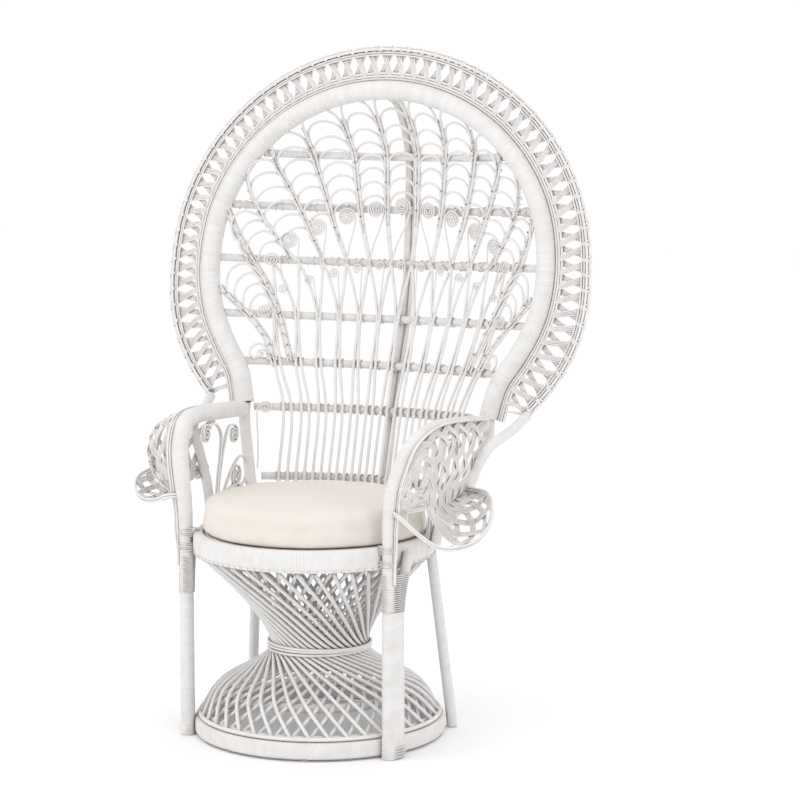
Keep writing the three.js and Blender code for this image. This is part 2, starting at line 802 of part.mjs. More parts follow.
function makeStakes() {
  const stakes = Array.from({ length: stakeCount }, (_, i) => (
    rodSolid(rod(smooth(stakePoints(i)), stakeRadius, 3, 6))
  ));
  const curls = Array.from({ length: groupCount - 2 }, (_, i) => {
    const group = i + 1 - (groupCount - 1) / 2;
    const foot = new THREE.Vector3(group * groupPitch + stakeRadius * lashedShare, rungs[3].s, 0);
    const x = group * nodePitch;
    const top = new THREE.Vector3(x, rungs[2].s - smallScrollDrop * (x / hoopHalfWidth) ** 2, 0);
    return scroll(top, smallScrollRadius, foot);
  });
  addMesh("fan_stakes", joined([...stakes, ...curls.flat()]), white);
}

// Crown of the fan: spines from the stakes' meeting points out to the hoop, as flat routes of
// [x, s] that bend outwards, with scallops and scrolls between them.
function crownRoute(k) {
  const angle = crownFirstAngle - Math.abs(k) * crownAngleStep;
  const hand = Math.sign(k);
  const index = Math.abs(k) - 1 / 2;
  const end = [
    hand * hoopHalfWidth * Math.cos(angle + crownAngleStep / 2),
    hoopWidestHeight + (hoopTop - hoopWidestHeight) * Math.sin(angle + crownAngleStep / 2),
  ];
  const start = [hand * (index + 1 / 2) * nodePitch, rungs[2].s + crownLift];
  const bend = [
    hand * (index + 1 / 2) * blend(nodePitch, crownPitch, crownBendShare),
    blend(rungs[2].s, Math.min(rungs[1].s, end[1]), crownBendShare),
  ];
  return new THREE.CatmullRomCurve3([start, bend, end].map(([x, y]) => new THREE.Vector3(x, y, 0)));
}

const crownOffset = fanOffset + fanSlack;
const onCrown = (flat) => onFan(flat.x, flat.y, crownOffset);
const crownRod = (flats, steps) => rodSolid(rod(smooth(flats.map(onCrown)), stakeRadius, 3, steps));

function makeCrown() {
  const ranks = Array.from({ length: 2 * crownSide }, (_, i) => i - crownSide + 1 / 2);
  const routes = ranks.map((rank) => crownRoute(rank));
  const solids = routes.map((route) => crownRod(route.getSpacedPoints(4), 4));
  routes.slice(1).forEach((right, i) => {
    const left = routes[i];
    for (const { spring, crest } of scallopShares) {
      const ends = [left.getPointAt(spring), right.getPointAt(spring)];
      const tops = [left, right].map((route) => route.getPointAt(crest));
      const quarters = scallopQuarterShares.map((share) => tops[0].clone().lerp(tops[1], share));
      const crestPoint = tops[0].clone().lerp(tops[1], 1 / 2);
      const springing = ends[0].clone().lerp(ends[1], 1 / 2);
      crestPoint.addScaledVector(crestPoint.clone().sub(springing), crestShare);
      solids.push(crownRod([ends[0], quarters[0], crestPoint, quarters[1], ends[1]], 4));
    }
    const centre = left.getPointAt(scrollShare).lerp(right.getPointAt(scrollShare), 1 / 2);
    solids.push(...scroll(centre, largeScrollRadius, left.getPointAt(tailShare)));
  });
  addMesh("fan_crown", fitted(joined(solids), [grownRod(hoopRod)]), white);
}

// A flat scroll lying against the fan, with the tail that ties it to a spine.
function scroll(centre, radius, anchor) {
  const middle = onCrown(centre);
  const outwards = onFan(centre.x, centre.y, crownOffset + radius).sub(middle).normalize();
  const disc = new THREE.CylinderGeometry(radius, radius, scrollThickness, 6);
  disc.applyQuaternion(new THREE.Quaternion().setFromUnitVectors(new THREE.Vector3(0, 1, 0), outwards));
  disc.translate(middle.x, middle.y, middle.z);
  const tail = crownRod([centre, anchor], 1);
  return [solidOf(disc), tail];
}

// Wing: an edging reed along the outside of the arm, a rim that loops out from the post and back
// to the wing's pole, and a woven shell between them. Shares of [reach, depth, height].
const wingRimShares = [
  [0, 0, 1],
  [0.18, -0.1, 0.9],
  [0.37, 0.01, 0.38],
  [0.58, 0.1, 0.03],
  [0.85, 0.31, 0.1],
  [0.98, 0.44, 0.52],
  [1, 0.51, 1.1],
  [0.88, 0.65, 1.3],
  [0.6, 0.9, 1.28],
  [0.34, 1, 1.28],
];

// Below the mouth of the wing heights follow its drop, above it the rise of its rim.
function wingPoint([out, back, up], drop) {
  const height = wingMouthHeight - (1 - Math.min(1, up)) * drop + Math.max(0, up - 1) * wingRimRise;
  return new THREE.Vector3(
    blend(postFoot.x, wingReach, out), blend(postFoot.y, wingRearY, back), height,
  );
}

function wingRimRod(drop) {
  return rod(smooth(wingRimShares.map((shares) => wingPoint(shares, drop))), wingRimRadius, 5, 20);
}

// A point beside the arm's centre line, on the wing's side of it.
function besideArm(share, standoff) {
  const along = armPath.getTangentAt(share);
  const away = new THREE.Vector3(...wingAwayShares);
  away.addScaledVector(along, -away.dot(along)).normalize();
  return armPath.getPointAt(share).addScaledVector(away, standoff);
}

function wingEdgeRod() {
  const count = 12;
  const points = Array.from({ length: count + 1 }, (_, i) => {
    const share = blend(wingFromShare, wingToShare, i / count);
    const standoff = postRadius * armSwell(share) + wingEdgeReedRadius + hoopSlack;
    return besideArm(share, standoff);
  });
  return rod(smooth(points), wingEdgeReedRadius, 4, 18);
}

// The shell hangs from the arm to a fold that runs back from the post to the pole behind the wing,
// as shares of [reach, depth, height], and rolls out from the fold to the rim as an open bowl.
const foldShares = [
  [0.18, 0.03, 0.98],
  [0.32, 0.22, 0.95],
  [0.355, 0.45, 0.97],
  [0.4, 0.64, 1.02],
  [0.4, 0.88, 1.08],
];
// How far the shell swells above and below its fold, as [outwards, forwards, upwards] along the arm.
const hangSwellShares = [[0.05, 0.15, 0], [0.25, 0.25, 0.05], [0.4, 0.15, 0.1], [0.4, 0, 0.1], [0.25, 0, 0]];
const bowlSwellShares = [[0, 0, 0], [0, -0.3, -0.2], [0.1, -0.6, -0.3], [0.1, -0.5, -0.1], [0, -0.1, 0]];

function wingShell(edge, rim, drop) {
  const fold = smooth(foldShares.map((shares) => wingPoint(shares, drop)));
  const [hang, bowl] = [hangSwellShares, bowlSwellShares].map((table) => (
    smooth(table.map(([x, y, z]) => new THREE.Vector3(x, -y, z).multiplyScalar(wingSwell)))
  ));
  const surface = (u, v) => {
    const middle = fold.getPoint(u);
    const isBowl = v > 1 / 2;
    const [rod, swells] = isBowl ? [rim, bowl] : [edge, hang];
    const end = rod.path.getPoint(isBowl ? u : blend(hangFromShare, 1, u));
    const control = end.clone().lerp(middle, 1 / 2).add(swells.getPoint(u));
    const standoff = rod.radius + seatGap + weaveSlack;
    end.addScaledVector(control.clone().sub(end).normalize(), standoff);
    return new THREE.QuadraticBezierCurve3(end, control, middle).getPoint(isBowl ? 2 - 2 * v : 2 * v);
  };
  const isOpen = (u, v) => u < mouthShares.along && v > mouthShares.across;
  return latticeSheet(surface, weaveCounts, wingThickness, isOpen);
}

// A closed lattice of crossing strands: diamonds on a surface, each with a hole, and half diamonds
// along its borders. Corners of the diamonds are the points of the grid whose numbers have an even sum.
function latticeSheet(surface, { along, across }, thickness, isOpen) {
  const places = [];
  const borders = new Map();
  const quad = (a, b, c, d) => places.push(...[a, b, c, a, c, d].flatMap((point) => point.toArray()));
  const pair = ([i, j]) => [1 / 2, -1 / 2].map((side) => (
    raisedPoint(surface, i / along, j / across, side * thickness)
  ));
  for (let i = 0; i <= along; i += 1) {
    for (let j = (i + 1) % 2; j <= across; j += 2) {
      const around4 = [[i - 1, j], [i, j - 1], [i + 1, j], [i, j + 1]];
      const corners = around4.filter(([a, b]) => a >= 0 && b >= 0 && a <= along && b <= across);
      if (corners.length < 3 || isOpen(i / along, j / across)) continue;
      const middle = [0, 1].map((axis) => corners.reduce((sum, at) => sum + at[axis], 0) / corners.length);
      const holes = corners.map((at) => at.map((value, axis) => blend(middle[axis], value, weaveHoleShare)));
      corners.forEach((corner, k) => {
        const next = (k + 1) % corners.length;
        const [outer, outerNext, hole, holeNext] = [corner, corners[next], holes[k], holes[next]].map(pair);
        quad(outer[0], outerNext[0], holeNext[0], hole[0]);
        quad(hole[1], holeNext[1], outerNext[1], outer[1]);
        quad(hole[0], holeNext[0], holeNext[1], hole[1]);
        const key = [corner, corners[next]].map(String).sort().join(" ");
        if (!borders.delete(key)) borders.set(key, [outerNext, outer]);
      });
    }
  }
  for (const [start, end] of borders.values()) quad(start[0], end[0], end[1], start[1]);
  const geometry = new THREE.BufferGeometry();
  return geometry.setAttribute("position", new THREE.Float32BufferAttribute(places, 3));
}

// A point lifted off a surface that is given for u and v from 0 to 1.
function raisedPoint(surface, u, v, offset) {
  const [u0, u1] = [Math.max(0, u - sheetStep), Math.min(1, u + sheetStep)];
  const [v0, v1] = [Math.max(0, v - sheetStep), Math.min(1, v + sheetStep)];
  const du = surface(u1, v).sub(surface(u0, v));
  const dv = surface(u, v1).sub(surface(u, v0));
  return surface(u, v).addScaledVector(du.cross(dv).normalize(), offset);
}

// A closed sheet of even thickness on both sides of a surface given for u and v from 0 to 1.
function thickSheet(surface, along, across, thickness) {
  const vertices = [];
  for (const side of [1 / 2, -1 / 2]) {
    for (let i = 0; i <= along; i += 1) {
      for (let j = 0; j <= across; j += 1) {
        vertices.push(...raisedPoint(surface, i / along, j / across, side * thickness));
      }
    }
  }
  const width = across + 1;
  const sheet = (along + 1) * width;
  const faces = [];
  const quad = (a, b, c, d) => faces.push(a, b, c, a, c, d);
  for (let i = 0; i < along; i += 1) {
    for (let j = 0; j < across; j += 1) {
      const a = i * width + j;
      quad(a, a + width, a + width + 1, a + 1);
      quad(a + sheet, a + 1 + sheet, a + width + 1 + sheet, a + width + sheet);
    }
  }
  for (let i = 0; i < along; i += 1) {
    const near = i * width;
    const far = near + across;
    quad(near, near + sheet, near + width + sheet, near + width);
    quad(far, far + width, far + width + sheet, far + sheet);
  }
  for (let j = 0; j < across; j += 1) {
    const end = along * width + j;
    quad(j, j + 1, j + 1 + sheet, j + sheet);
    quad(end, end + sheet, end + 1 + sheet, end + 1);
  }
  const geometry = new THREE.BufferGeometry();
  geometry.setAttribute("position", new THREE.Float32BufferAttribute(vertices, 3));
  geometry.setIndex(faces);
  return geometry;
}

function makeWing(side) {
  const edge = wingEdgeRod();
  const rim = wingRimRod(side.wingDrop);
  const members = [armRod, wingPoleRod, rearArmRod, hoopRod, rimRod];
  const grown = members.map((member) => grownRod(member));
  addSide(side, "wing_edge_reed", fitted(rodSolid(edge), grown), white);
  addSide(side, "wing_rim", fitted(rodSolid(rim), [...grown, grownRod(edge)]), white);
  const shell = solidOf(wingShell(edge, rim, side.wingDrop));
  addSide(side, "wing_weave", fitted(shell, [...grown, grownRod(edge), grownRod(rim, rimSlack)]), white);
}

// Scrollwork in the arch under the arm, drawn in the upright plane between the post and the post
// behind the arm, as shares of [span, height above the seat].
const scrollRoutes = [
  {
    shares: [[0.45, -0.06], [0.5, 0.4], [0.545, 0.66], [0.55, 0.82], [0.47, 0.93], [0.36, 0.93]],
    centre: [0.32, 0.86],
    hand: 1,
  },
  {
    shares: [[0.47, -0.06], [0.51, 0.35], [0.6, 0.7], [0.68, 0.86], [0.77, 0.86]],
    centre: [0.76, 0.77],
    hand: -1,
  },
  {
    shares: [[0.49, -0.06], [0.6, 0.25], [0.75, 0.46], [0.88, 0.53], [0.97, 0.42], [0.93, 0.27], [0.84, 0.24]],
    centre: [0.8, 0.35],
    hand: -1,
  },
  {
    shares: [[0.5, -0.06], [0.62, 0.2], [0.76, 0.27], [0.9, 0.2], [1, -0.06]],
    centre: null,
    hand: 1,
  },
];

function makeScrollwork(side) {
  const low = postFoot;
  const high = rearArmRod.path.getPoint(0.5);
  const span = Math.hypot(high.x - low.x, high.y - low.y);
  const height = armHeight - armRadius - seatTop;
  const place = ([along, up]) => new THREE.Vector3(
    blend(low.x, high.x, along), blend(low.y, high.y, along), seatTop + up * height,
  );
  const solids = scrollRoutes.map(({ shares, centre, hand }) => {
    const curl = centre ? curlShares(shares[shares.length - 1], centre, hand, span, height) : [];
    const path = smooth([...shares, ...curl].map(place));
    return rodSolid(rod(path, scrollReedRadius, 3, centre ? 22 : 8));
  });
  const ring = bandOutline(
    seatRingRadius + seatGap, seatRingThickness + 2 * seatGap, seatRingBottom - seatGap,
    seatRingHeight + 2 * seatGap, seatRingCorner,
  );
  const seats = [grownRod(armRod), grownRod(rearArmRod), solidOf(ringGeometry(ring, seatY, fine.ring))];
  addSide(side, "arm_scrollwork", fitted(joined(solids), seats), white);
}

// The curl at the end of a scroll reed winds in towards its centre.
function curlShares(start, centre, hand, span, height) {
  const [dx, dy] = [(start[0] - centre[0]) * span, (start[1] - centre[1]) * height];
  const radius = Math.hypot(dx, dy);
  const angle = Math.atan2(dy, dx);
  const count = 10;
  return Array.from({ length: count }, (_, i) => {
    const turn = angle + (hand * curlTurns * fullTurn * (i + 1)) / count;
    const reach = radius * (1 - (curlCloseShare * (i + 1)) / count);
    return [centre[0] + (reach * Math.cos(turn)) / span, centre[1] + (reach * Math.sin(turn)) / height];
  });
}

const sides = [
  { name: "right", hand: 1, wingDrop: rightWingDrop },
  { name: "left", hand: -1, wingDrop: leftWingDrop },
];
makeSeat();
makeCushion();
makeBase();
makeHourglass();
makeBinding();
makeHoop();
sides.forEach(makeArm);
sides.forEach(makePoles);
makeRungs();
makeSpine();
makeStakes();
makeCrown();
sides.forEach(makeWing);
sides.forEach(makeScrollwork);

export default chair;
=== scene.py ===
import math
import random

import bpy
import numpy as np
from mathutils import Matrix, Vector


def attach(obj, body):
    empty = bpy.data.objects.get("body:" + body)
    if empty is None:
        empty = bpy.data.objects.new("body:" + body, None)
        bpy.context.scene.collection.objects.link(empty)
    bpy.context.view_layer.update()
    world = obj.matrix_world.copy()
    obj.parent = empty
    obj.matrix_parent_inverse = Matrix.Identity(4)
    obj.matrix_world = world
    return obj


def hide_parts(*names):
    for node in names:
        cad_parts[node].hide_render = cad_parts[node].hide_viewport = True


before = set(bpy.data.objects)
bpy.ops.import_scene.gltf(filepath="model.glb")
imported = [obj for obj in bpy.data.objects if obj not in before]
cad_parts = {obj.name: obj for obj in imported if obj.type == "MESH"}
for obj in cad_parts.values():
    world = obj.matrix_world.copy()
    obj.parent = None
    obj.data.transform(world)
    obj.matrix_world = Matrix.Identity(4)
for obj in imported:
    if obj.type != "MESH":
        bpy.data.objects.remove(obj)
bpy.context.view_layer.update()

MM = 0.001
TURN = 2 * math.pi

# Sizes in millimetres, the same as the part's own.
SEAT_GAP = 0.35
SEAT_RADIUS = 262.0
SEAT_THICKNESS = 25.0
SEAT_BOTTOM = 402.0
SEAT_HEIGHT = 45.0
OVERALL_DEPTH = 749.3
SEAT_Y = SEAT_RADIUS - OVERALL_DEPTH / 2
SEAT_TOP = SEAT_BOTTOM + SEAT_HEIGHT
DECK_DROP = 1.0
CUSHION_RADIUS = 251.0
CUSHION_DRAW = 7.0
CUSHION_HEIGHT = 72.0
POST_RADIUS = 14.5
POST_AZIMUTH = math.radians(61)
ARM_RADIUS = 18.5
ARM_X = 284.0
ARM_HEIGHT = 680.0
ARM_REAR_Y = 120.0
SECOND_RADIUS = 11.0
MERGE_HEIGHT = 330.0
BASE_Y = -92.0
GLIDE_HEIGHT = 4.0
BASE_THICKNESS = 20.0
BASE_HEIGHT = 36.0
POLE_RADIUS = 4.0
POLE_COUNT = 40
WAIST_RADIUS = 103.0
POLE_TOP_RADIUS = 248.0
WAIST_HEIGHT = 194.0
SHOULDER_HEIGHT = 104.0
SHOULDER_RADIUS = 221.0
POLE_LAYER = 11.0
POLE_HOOP_RADIUS = 5.0
REAR_LEG_RADIUS = 11.5
BACK_LEAN = math.atan(0.153)
BACK_FOOT_Y = 24.1
HOOP_HALF = 414.0
HOOP_TOP = 1398.0
HOOP_WIDEST = 1011.5
HOOP_RADIUS = 21.5
HOOP_END = (302.0, 685.0)
RIM_HALF = 512.9
RIM_TOP = 1491.4
RIM_WIDEST = 1000.0
RIM_END = (392.0, 694.0)
EDGING_STANDOFF = 34.0
LOWEST = (264.0, 520.0)
RUNG_RADIUS = 9.0
DEEPEST_BOW = 160.4
RUNG_RISE = 9.0
RUNG_SHARES = [0.897, 0.812, 0.7244, 0.6338, 0.5572, 0.4834, 0.372]
BOW_SHARES = [0.81, 0.92, 0.985, 0.955, 0.83, 0.72, 0.6]
SPINE_RADIUS = 10.0
THIN_SPINE_RADIUS = 5.0
STAKE_RADIUS = 3.0
STAKE_COUNT = 26
STAKE_PITCH = 17.6
GROUP_PITCH = 47.0
NODE_PITCH = 54.0
CROWN_PITCH = 71.0
LARGE_SCROLL = 19.6
SMALL_SCROLL = 11.5
SCROLL_PITCH = 5.3
FAN_STEP = 4.0
SMALL_DROP = 150.0
WING_REACH = 428.0
WING_MOUTH = 525.0
WING_RISE = 85.0
WING_REAR_Y = -34.0
WING_SWELL = 105.0
WING_POLE_RADIUS = 11.0
REAR_ARM_RADIUS = 13.0
LEG_CUT = 1.5

# Reeds that only dress the part.
TIE_REED = 1.5
SCROLL_REED = 2.1
SPINE_REED = 2.6
ARCH_REED = 3.1
RIM_REED = 3.2
EDGING_REED = 2.9
LACE_REED = 1.8

random.seed(7)


# Paths.
def vec(*values):
    return np.array(values, dtype=float)


class Path:
    """A centripetal spline through points, read by share of its length."""

    def __init__(self, points, per_span=24):
        pts = [np.array(p, dtype=float) for p in points]
        pts = [2 * pts[0] - pts[1]] + pts + [2 * pts[-1] - pts[-2]]
        dense = []
        for i in range(1, len(pts) - 2):
            p0, p1, p2, p3 = pts[i - 1 : i + 3]
            d0, d1, d2 = (max(1e-3, np.linalg.norm(b - a) ** 0.5) for a, b in ((p0, p1), (p1, p2), (p2, p3)))
            t1 = ((p1 - p0) / d0 - (p2 - p0) / (d0 + d1) + (p2 - p1) / d1) * d1
            t2 = ((p2 - p1) / d1 - (p3 - p1) / (d1 + d2) + (p3 - p2) / d2) * d1
            for k in range(per_span):
                t = k / per_span
                dense.append(
                    p1 + t1 * t + (3 * (p2 - p1) - 2 * t1 - t2) * t * t + (2 * (p1 - p2) + t1 + t2) * t ** 3
                )
        dense.append(pts[-2])
        self.dense = np.array(dense)
        steps = np.linalg.norm(np.diff(self.dense, axis=0), axis=1)
        self.along = np.concatenate([[0], np.cumsum(steps)])
        self.length = self.along[-1]

    def at(self, shares):
        """The point at a share of the length, or the points at a list of shares."""
        s = np.asarray(shares) * self.length
        return np.stack([np.interp(s, self.along, self.dense[:, i]) for i in range(3)], axis=-1)

    def param(self, t):
        """The point at a share of the spline's own parameter, as even spans between its points."""
        at = t * (len(self.dense) - 1)
        return np.array([np.interp(at, np.arange(len(self.dense)), self.dense[:, i]) for i in range(3)])

    def spaced(self, count):
        return self.at(np.linspace(0, 1, count + 1))

    def tangent(self, share):
        a, b = self.at(max(0, share - 0.002)), self.at(min(1, share + 0.002))
        return unit(b - a)


def unit(v):
    return v / max(1e-9, np.linalg.norm(v))


def lerp(a, b, t):
    return a + (b - a) * t


def around(radius, azimuth, height, y):
    return vec(radius * math.sin(azimuth), y - radius * math.cos(azimuth), height)


def on_back(x, depth, s):
    return vec(
        x,
        BACK_FOOT_Y + depth * math.cos(BACK_LEAN) + s * math.sin(BACK_LEAN),
        s * math.cos(BACK_LEAN) - depth * math.sin(BACK_LEAN),
    )


# Swept tubes and grids.
class Builder:
    """Collects swept shapes and grids for one mesh."""

    def __init__(self):
        self.verts, self.faces, self.uvs = [], [], []
        self.count = 0

    def grid(self, rows, uv, closed=False, flip=False):
        """Joins rings of points into a closed tube, or into an open one with a cap at each end."""
        n, m = rows.shape[:2]
        base = self.count
        self.verts.append(rows.reshape(-1, 3))
        self.count += n * m
        for i in range(n if closed else n - 1):
            for j in range(m):
                i1, j1 = (i + 1) % n, (j + 1) % m
                quad = (base + i * m + j, base + i * m + j1, base + i1 * m + j1, base + i1 * m + j)
                us = (uv(i, j), uv(i, j + 1), uv(i + 1, j + 1), uv(i + 1, j))
                if flip:
                    quad, us = quad[::-1], us[::-1]
                self.faces.append(quad)
                self.uvs.extend(us)
        if not closed:
            for ring in (range(base, base + m), reversed(range(base + (n - 1) * m, base + n * m))):
                self.faces.append(tuple(ring))
                self.uvs.extend([(0.0, 0.0)] * m)

    def sweep(self, points, section, closed=False, swell=None, up=None, start=0.0):
        """Sweeps a section of (side, up) offsets along points. UV holds share round and metres along."""
        pts = np.array(points, dtype=float)
        n = len(pts)
        tangents = (np.roll(pts, -1, 0) - np.roll(pts, 1, 0)) if closed else np.gradient(pts, axis=0)
        tangents /= np.maximum(1e-9, np.linalg.norm(tangents, axis=1))[:, None]
        if up is None:
            first = vec(0, 0, 1) if abs(tangents[0][2]) < 0.9 else vec(0, 1, 0)
            ups = [unit(first - tangents[0] * first.dot(tangents[0]))]
            for k in range(1, n):
                u = ups[-1] - tangents[k] * ups[-1].dot(tangents[k])
                ups.append(unit(u))
            ups = np.array(ups)
        else:
            ups = np.tile(np.array(up, dtype=float), (n, 1))
            ups = ups - tangents * np.sum(ups * tangents, axis=1)[:, None]
            ups /= np.maximum(1e-9, np.linalg.norm(ups, axis=1))[:, None]
        sides = np.cross(tangents, ups)
        section = np.array(section, dtype=float)
        size = np.ones(n) if swell is None else np.array(swell, dtype=float)
        rows = (
            pts[:, None, :]
            + sides[:, None, :] * (section[None, :, 0] * size[:, None])[..., None]
            + ups[:, None, :] * (section[None, :, 1] * size[:, None])[..., None]
        )
        along = np.concatenate([[0], np.cumsum(np.linalg.norm(np.diff(pts, axis=0), axis=1))])
        if closed:
            along = np.concatenate([along, [along[-1] + np.linalg.norm(pts[0] - pts[-1])]])
        along = start + along * MM
        m = len(section)
        self.grid(rows, lambda i, j: (j / m, along[i]), closed)

    def tube(self, points, radius, sides, closed=False, swell=None, start=0.0, flat=1.0):
        turns = [TURN * k / sides for k in range(sides)]
        section = [(radius * math.cos(turn), flat * radius * math.sin(turn)) for turn in turns]
        self.sweep(points, section, closed, swell, start=start)

    def piece(self, name, nodes=(), material=None, body="frame", slot="painted_rattan"):
        mesh = bpy.data.meshes.new(name)
        verts = np.concatenate(self.verts) * MM
        mesh.from_pydata(verts.tolist(), [], self.faces)
        layer = mesh.uv_layers.new(name="UVMap")
        layer.data.foreach_set("uv", np.array(self.uvs, dtype=np.float32).ravel())
        mesh.materials.append(material or REED)
        mesh.polygons.foreach_set("use_smooth", [True] * len(mesh.polygons))
        mesh.update()
        obj = bpy.data.objects.new(name, mesh)
        bpy.context.scene.collection.objects.link(obj)
        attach(obj, body)
        if nodes:
            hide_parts(*nodes)
        return obj


def rounded_band(thickness, height, corner, bulge):
    """A closed section of (side, up) offsets for a band, its outer face to the +side."""
    w, h = thickness / 2, height / 2
    out = []
    for cx, cy, start in ((w - corner, h - corner, 0), (-w + corner, h - corner, 1),
                          (-w + corner, -h + corner, 2), (w - corner, -h + corner, 3)):
        for k in range(5):
            angle = math.pi / 2 * (start + k / 4)
            out.append((cx + corner * math.cos(angle), cy + corner * math.sin(angle)))
    return out + [(w + bulge, -h * 0.4), (w + bulge * 1.3, 0), (w + bulge, h * 0.4)]


def ring_points(radius, height, y, count):
    return [around(radius, TURN * k / count, height, y) for k in range(count)]


# Materials.
class Material:
    """A node material, with short calls for the nodes that it needs."""

    def __init__(self, name):
        self.material = bpy.data.materials.new(name)
        self.material.use_nodes = True
        tree = self.material.node_tree
        self.nodes, self.links = tree.nodes, tree.links
        self.shader = self.nodes["Principled BSDF"]
        self.place = self.add("ShaderNodeTexCoord").outputs["Object"]

    def put(self, value, socket):
        """Sets a socket to a plain value, or links it to the output of another node."""
        if isinstance(value, bpy.types.NodeSocket):
            self.links.new(value, socket)
        else:
            socket.default_value = value

    def surface(self, **values):
        for key, value in values.items():
            self.put(value, self.shader.inputs[key.replace("_", " ")])

    def add(self, kind, **values):
        node = self.nodes.new(kind)
        for key, value in values.items():
            if key in node.inputs:
                self.put(value, node.inputs[key])
            else:
                setattr(node, key, value)
        return node

    def math(self, operation, a, b=None, clamp=False):
        node = self.add("ShaderNodeMath", operation=operation, use_clamp=clamp)
        self.put(a, node.inputs[0])
        if b is not None:
            self.put(b, node.inputs[1])
        return node.outputs[0]

    def mix(self, share, a, b):
        node = self.add("ShaderNodeMix", data_type="RGBA")
        for index, value in ((0, share), (6, a), (7, b)):
            self.put(value, node.inputs[index])
        return node.outputs[2]

    def noise(self, scale, detail, roughness=0.5):
        node = self.add("ShaderNodeTexNoise", Scale=scale, Detail=detail, Roughness=roughness)
        self.put(self.place, node.inputs["Vector"])
        return node.outputs["Fac"]

    def bump(self, height, strength, distance):
        node = self.add("ShaderNodeBump", Strength=strength, Distance=distance, Height=height)
        self.surface(Normal=node.outputs["Normal"])


PAINT = (0.785, 0.775, 0.768, 1)
PAINT_THIN = (0.70, 0.683, 0.668, 1)
# A warm brown painted shade, laid into crevices and into the grooves between turns of cane.
PAINTED_SHADE_BROWN = (0.36, 0.27, 0.235, 1)
COTTON, COTTON_SHADED, COTTON_SLUB = (0.79, 0.745, 0.69, 1), (0.73, 0.675, 0.62, 1), (0.66, 0.6, 0.545, 1)
CREVICE_REACH = 0.011
THREAD_PITCH = 0.0011


def paint_material(name, pitch=None, depth=0.6):
    """White paint over rattan, with painted shade in its crevices. With a pitch it is wound with cane of that
    width, with painted shade in the grooves between turns.
    """
    paint = Material(name)
    blotch, fine = paint.noise(34.0, 4.0, 0.6), paint.noise(420.0, 3.0, 0.65)
    # Painted shade: an ambient occlusion mask darkens the colour towards brown in crevices and between parts.
    crevice = paint.add("ShaderNodeAmbientOcclusion", samples=6, Distance=CREVICE_REACH)
    shut = paint.math("MULTIPLY", paint.math("SUBTRACT", 1.0, crevice.outputs["AO"]), 1.15, clamp=True)
    crevice_shade = paint.math("MULTIPLY", paint.math("POWER", shut, 2.1), 0.85, clamp=True)
    thin = paint.math("MULTIPLY", paint.math("SUBTRACT", blotch, 0.47), 3.0, clamp=True)
    colour = paint.mix(thin, PAINT, PAINT_THIN)
    height = paint.math("MULTIPLY", fine, 0.25)
    if pitch:
        uv = paint.add("ShaderNodeUVMap", uv_map="UVMap")
        split = paint.add("ShaderNodeSeparateXYZ", Vector=uv.outputs["UV"])
        turns = paint.math("ADD", paint.math("DIVIDE", split.outputs["Y"], pitch), split.outputs["X"])
        turns = paint.math("ADD", turns, paint.math("MULTIPLY", paint.noise(60.0, 1.0), 0.35))
        groove = paint.math("POWER", paint.math("MULTIPLY", paint.math("PINGPONG", turns, 0.5), 2.0), 9.0)
        # Each turn of cane has its own shade.
        turn = paint.math("FLOOR", paint.math("ADD", turns, 0.5))
        shade = paint.add("ShaderNodeTexWhiteNoise", noise_dimensions="1D", W=turn).outputs["Value"]
        colour = paint.mix(paint.math("MULTIPLY", shade, 0.3), colour, PAINT_THIN)
        # Painted shade: the grooves between turns of cane are darkened towards brown, as strongly as depth
        # gives.
        dark = paint.math("MULTIPLY", paint.math("MULTIPLY", groove, shade), depth, clamp=True)
        colour = paint.mix(dark, colour, PAINTED_SHADE_BROWN)
        height = paint.math("SUBTRACT", height, groove)
    paint.bump(height, 0.55 if pitch else 0.35, 0.0009 if pitch else 0.0004)
    rough = paint.math("ADD", paint.math("MULTIPLY", blotch, 0.3), 0.36)
    # The crevice mask lays the painted shade over the colour.
    paint.surface(Base_Color=paint.mix(crevice_shade, colour, PAINTED_SHADE_BROWN), Roughness=rough)
    return paint.material


def cloth_material(name):
    """Undyed plain-woven cotton."""
    cloth = Material(name)
    split = cloth.add("ShaderNodeSeparateXYZ", Vector=cloth.place)
    turns = [cloth.math("MULTIPLY", split.outputs[axis], TURN / THREAD_PITCH) for axis in "XYZ"]
    across, along, upwards = (cloth.math("SINE", turn) for turn in turns)
    weave = cloth.math("ADD", cloth.math("MULTIPLY", across, along), cloth.math("MULTIPLY", upwards, 0.6))
    slub, soft = cloth.noise(240.0, 3.0), cloth.noise(9.0, 2.0)
    colour = cloth.mix(soft, COTTON, COTTON_SHADED)
    colour = cloth.mix(cloth.math("MULTIPLY", slub, 0.3), colour, COTTON_SLUB)
    cloth.bump(cloth.math("ADD", cloth.math("MULTIPLY", weave, 0.3), slub), 0.25, 0.0004)
    cloth.surface(Base_Color=colour, Roughness=0.92, Sheen_Weight=0.25)
    return cloth.material


def nail_material(name):
    """Small dark heads of tacks."""
    nail = Material(name)
    colour = nail.mix(nail.noise(300.0, 2.0), (0.035, 0.03, 0.03, 1), (0.11, 0.09, 0.08, 1))
    nail.surface(Base_Color=colour, Metallic=0.6, Roughness=0.55)
    return nail.material


WOUND = paint_material("wound_cane", pitch=0.0056)
WOUND_FINE = paint_material("wound_fine", pitch=0.0042, depth=0.8)
BAND = paint_material("wound_band", pitch=0.0062, depth=0.45)
REED = paint_material("painted_reed")
CLOTH = cloth_material("cotton")
NAIL = nail_material("tack_heads")


# The back's own curves, repeated from the part.
def half_arch(half, top, widest, end, leg_shares):
    leg = [(end[0] + x * (half - end[0]), end[1] + s * (widest - end[1])) for x, s in leg_shares]
    quarter = [
        (half * math.cos(math.pi / 2 * i / 6), widest + (top - widest) * math.sin(math.pi / 2 * i / 6))
        for i in range(7)
    ]
    return leg + quarter


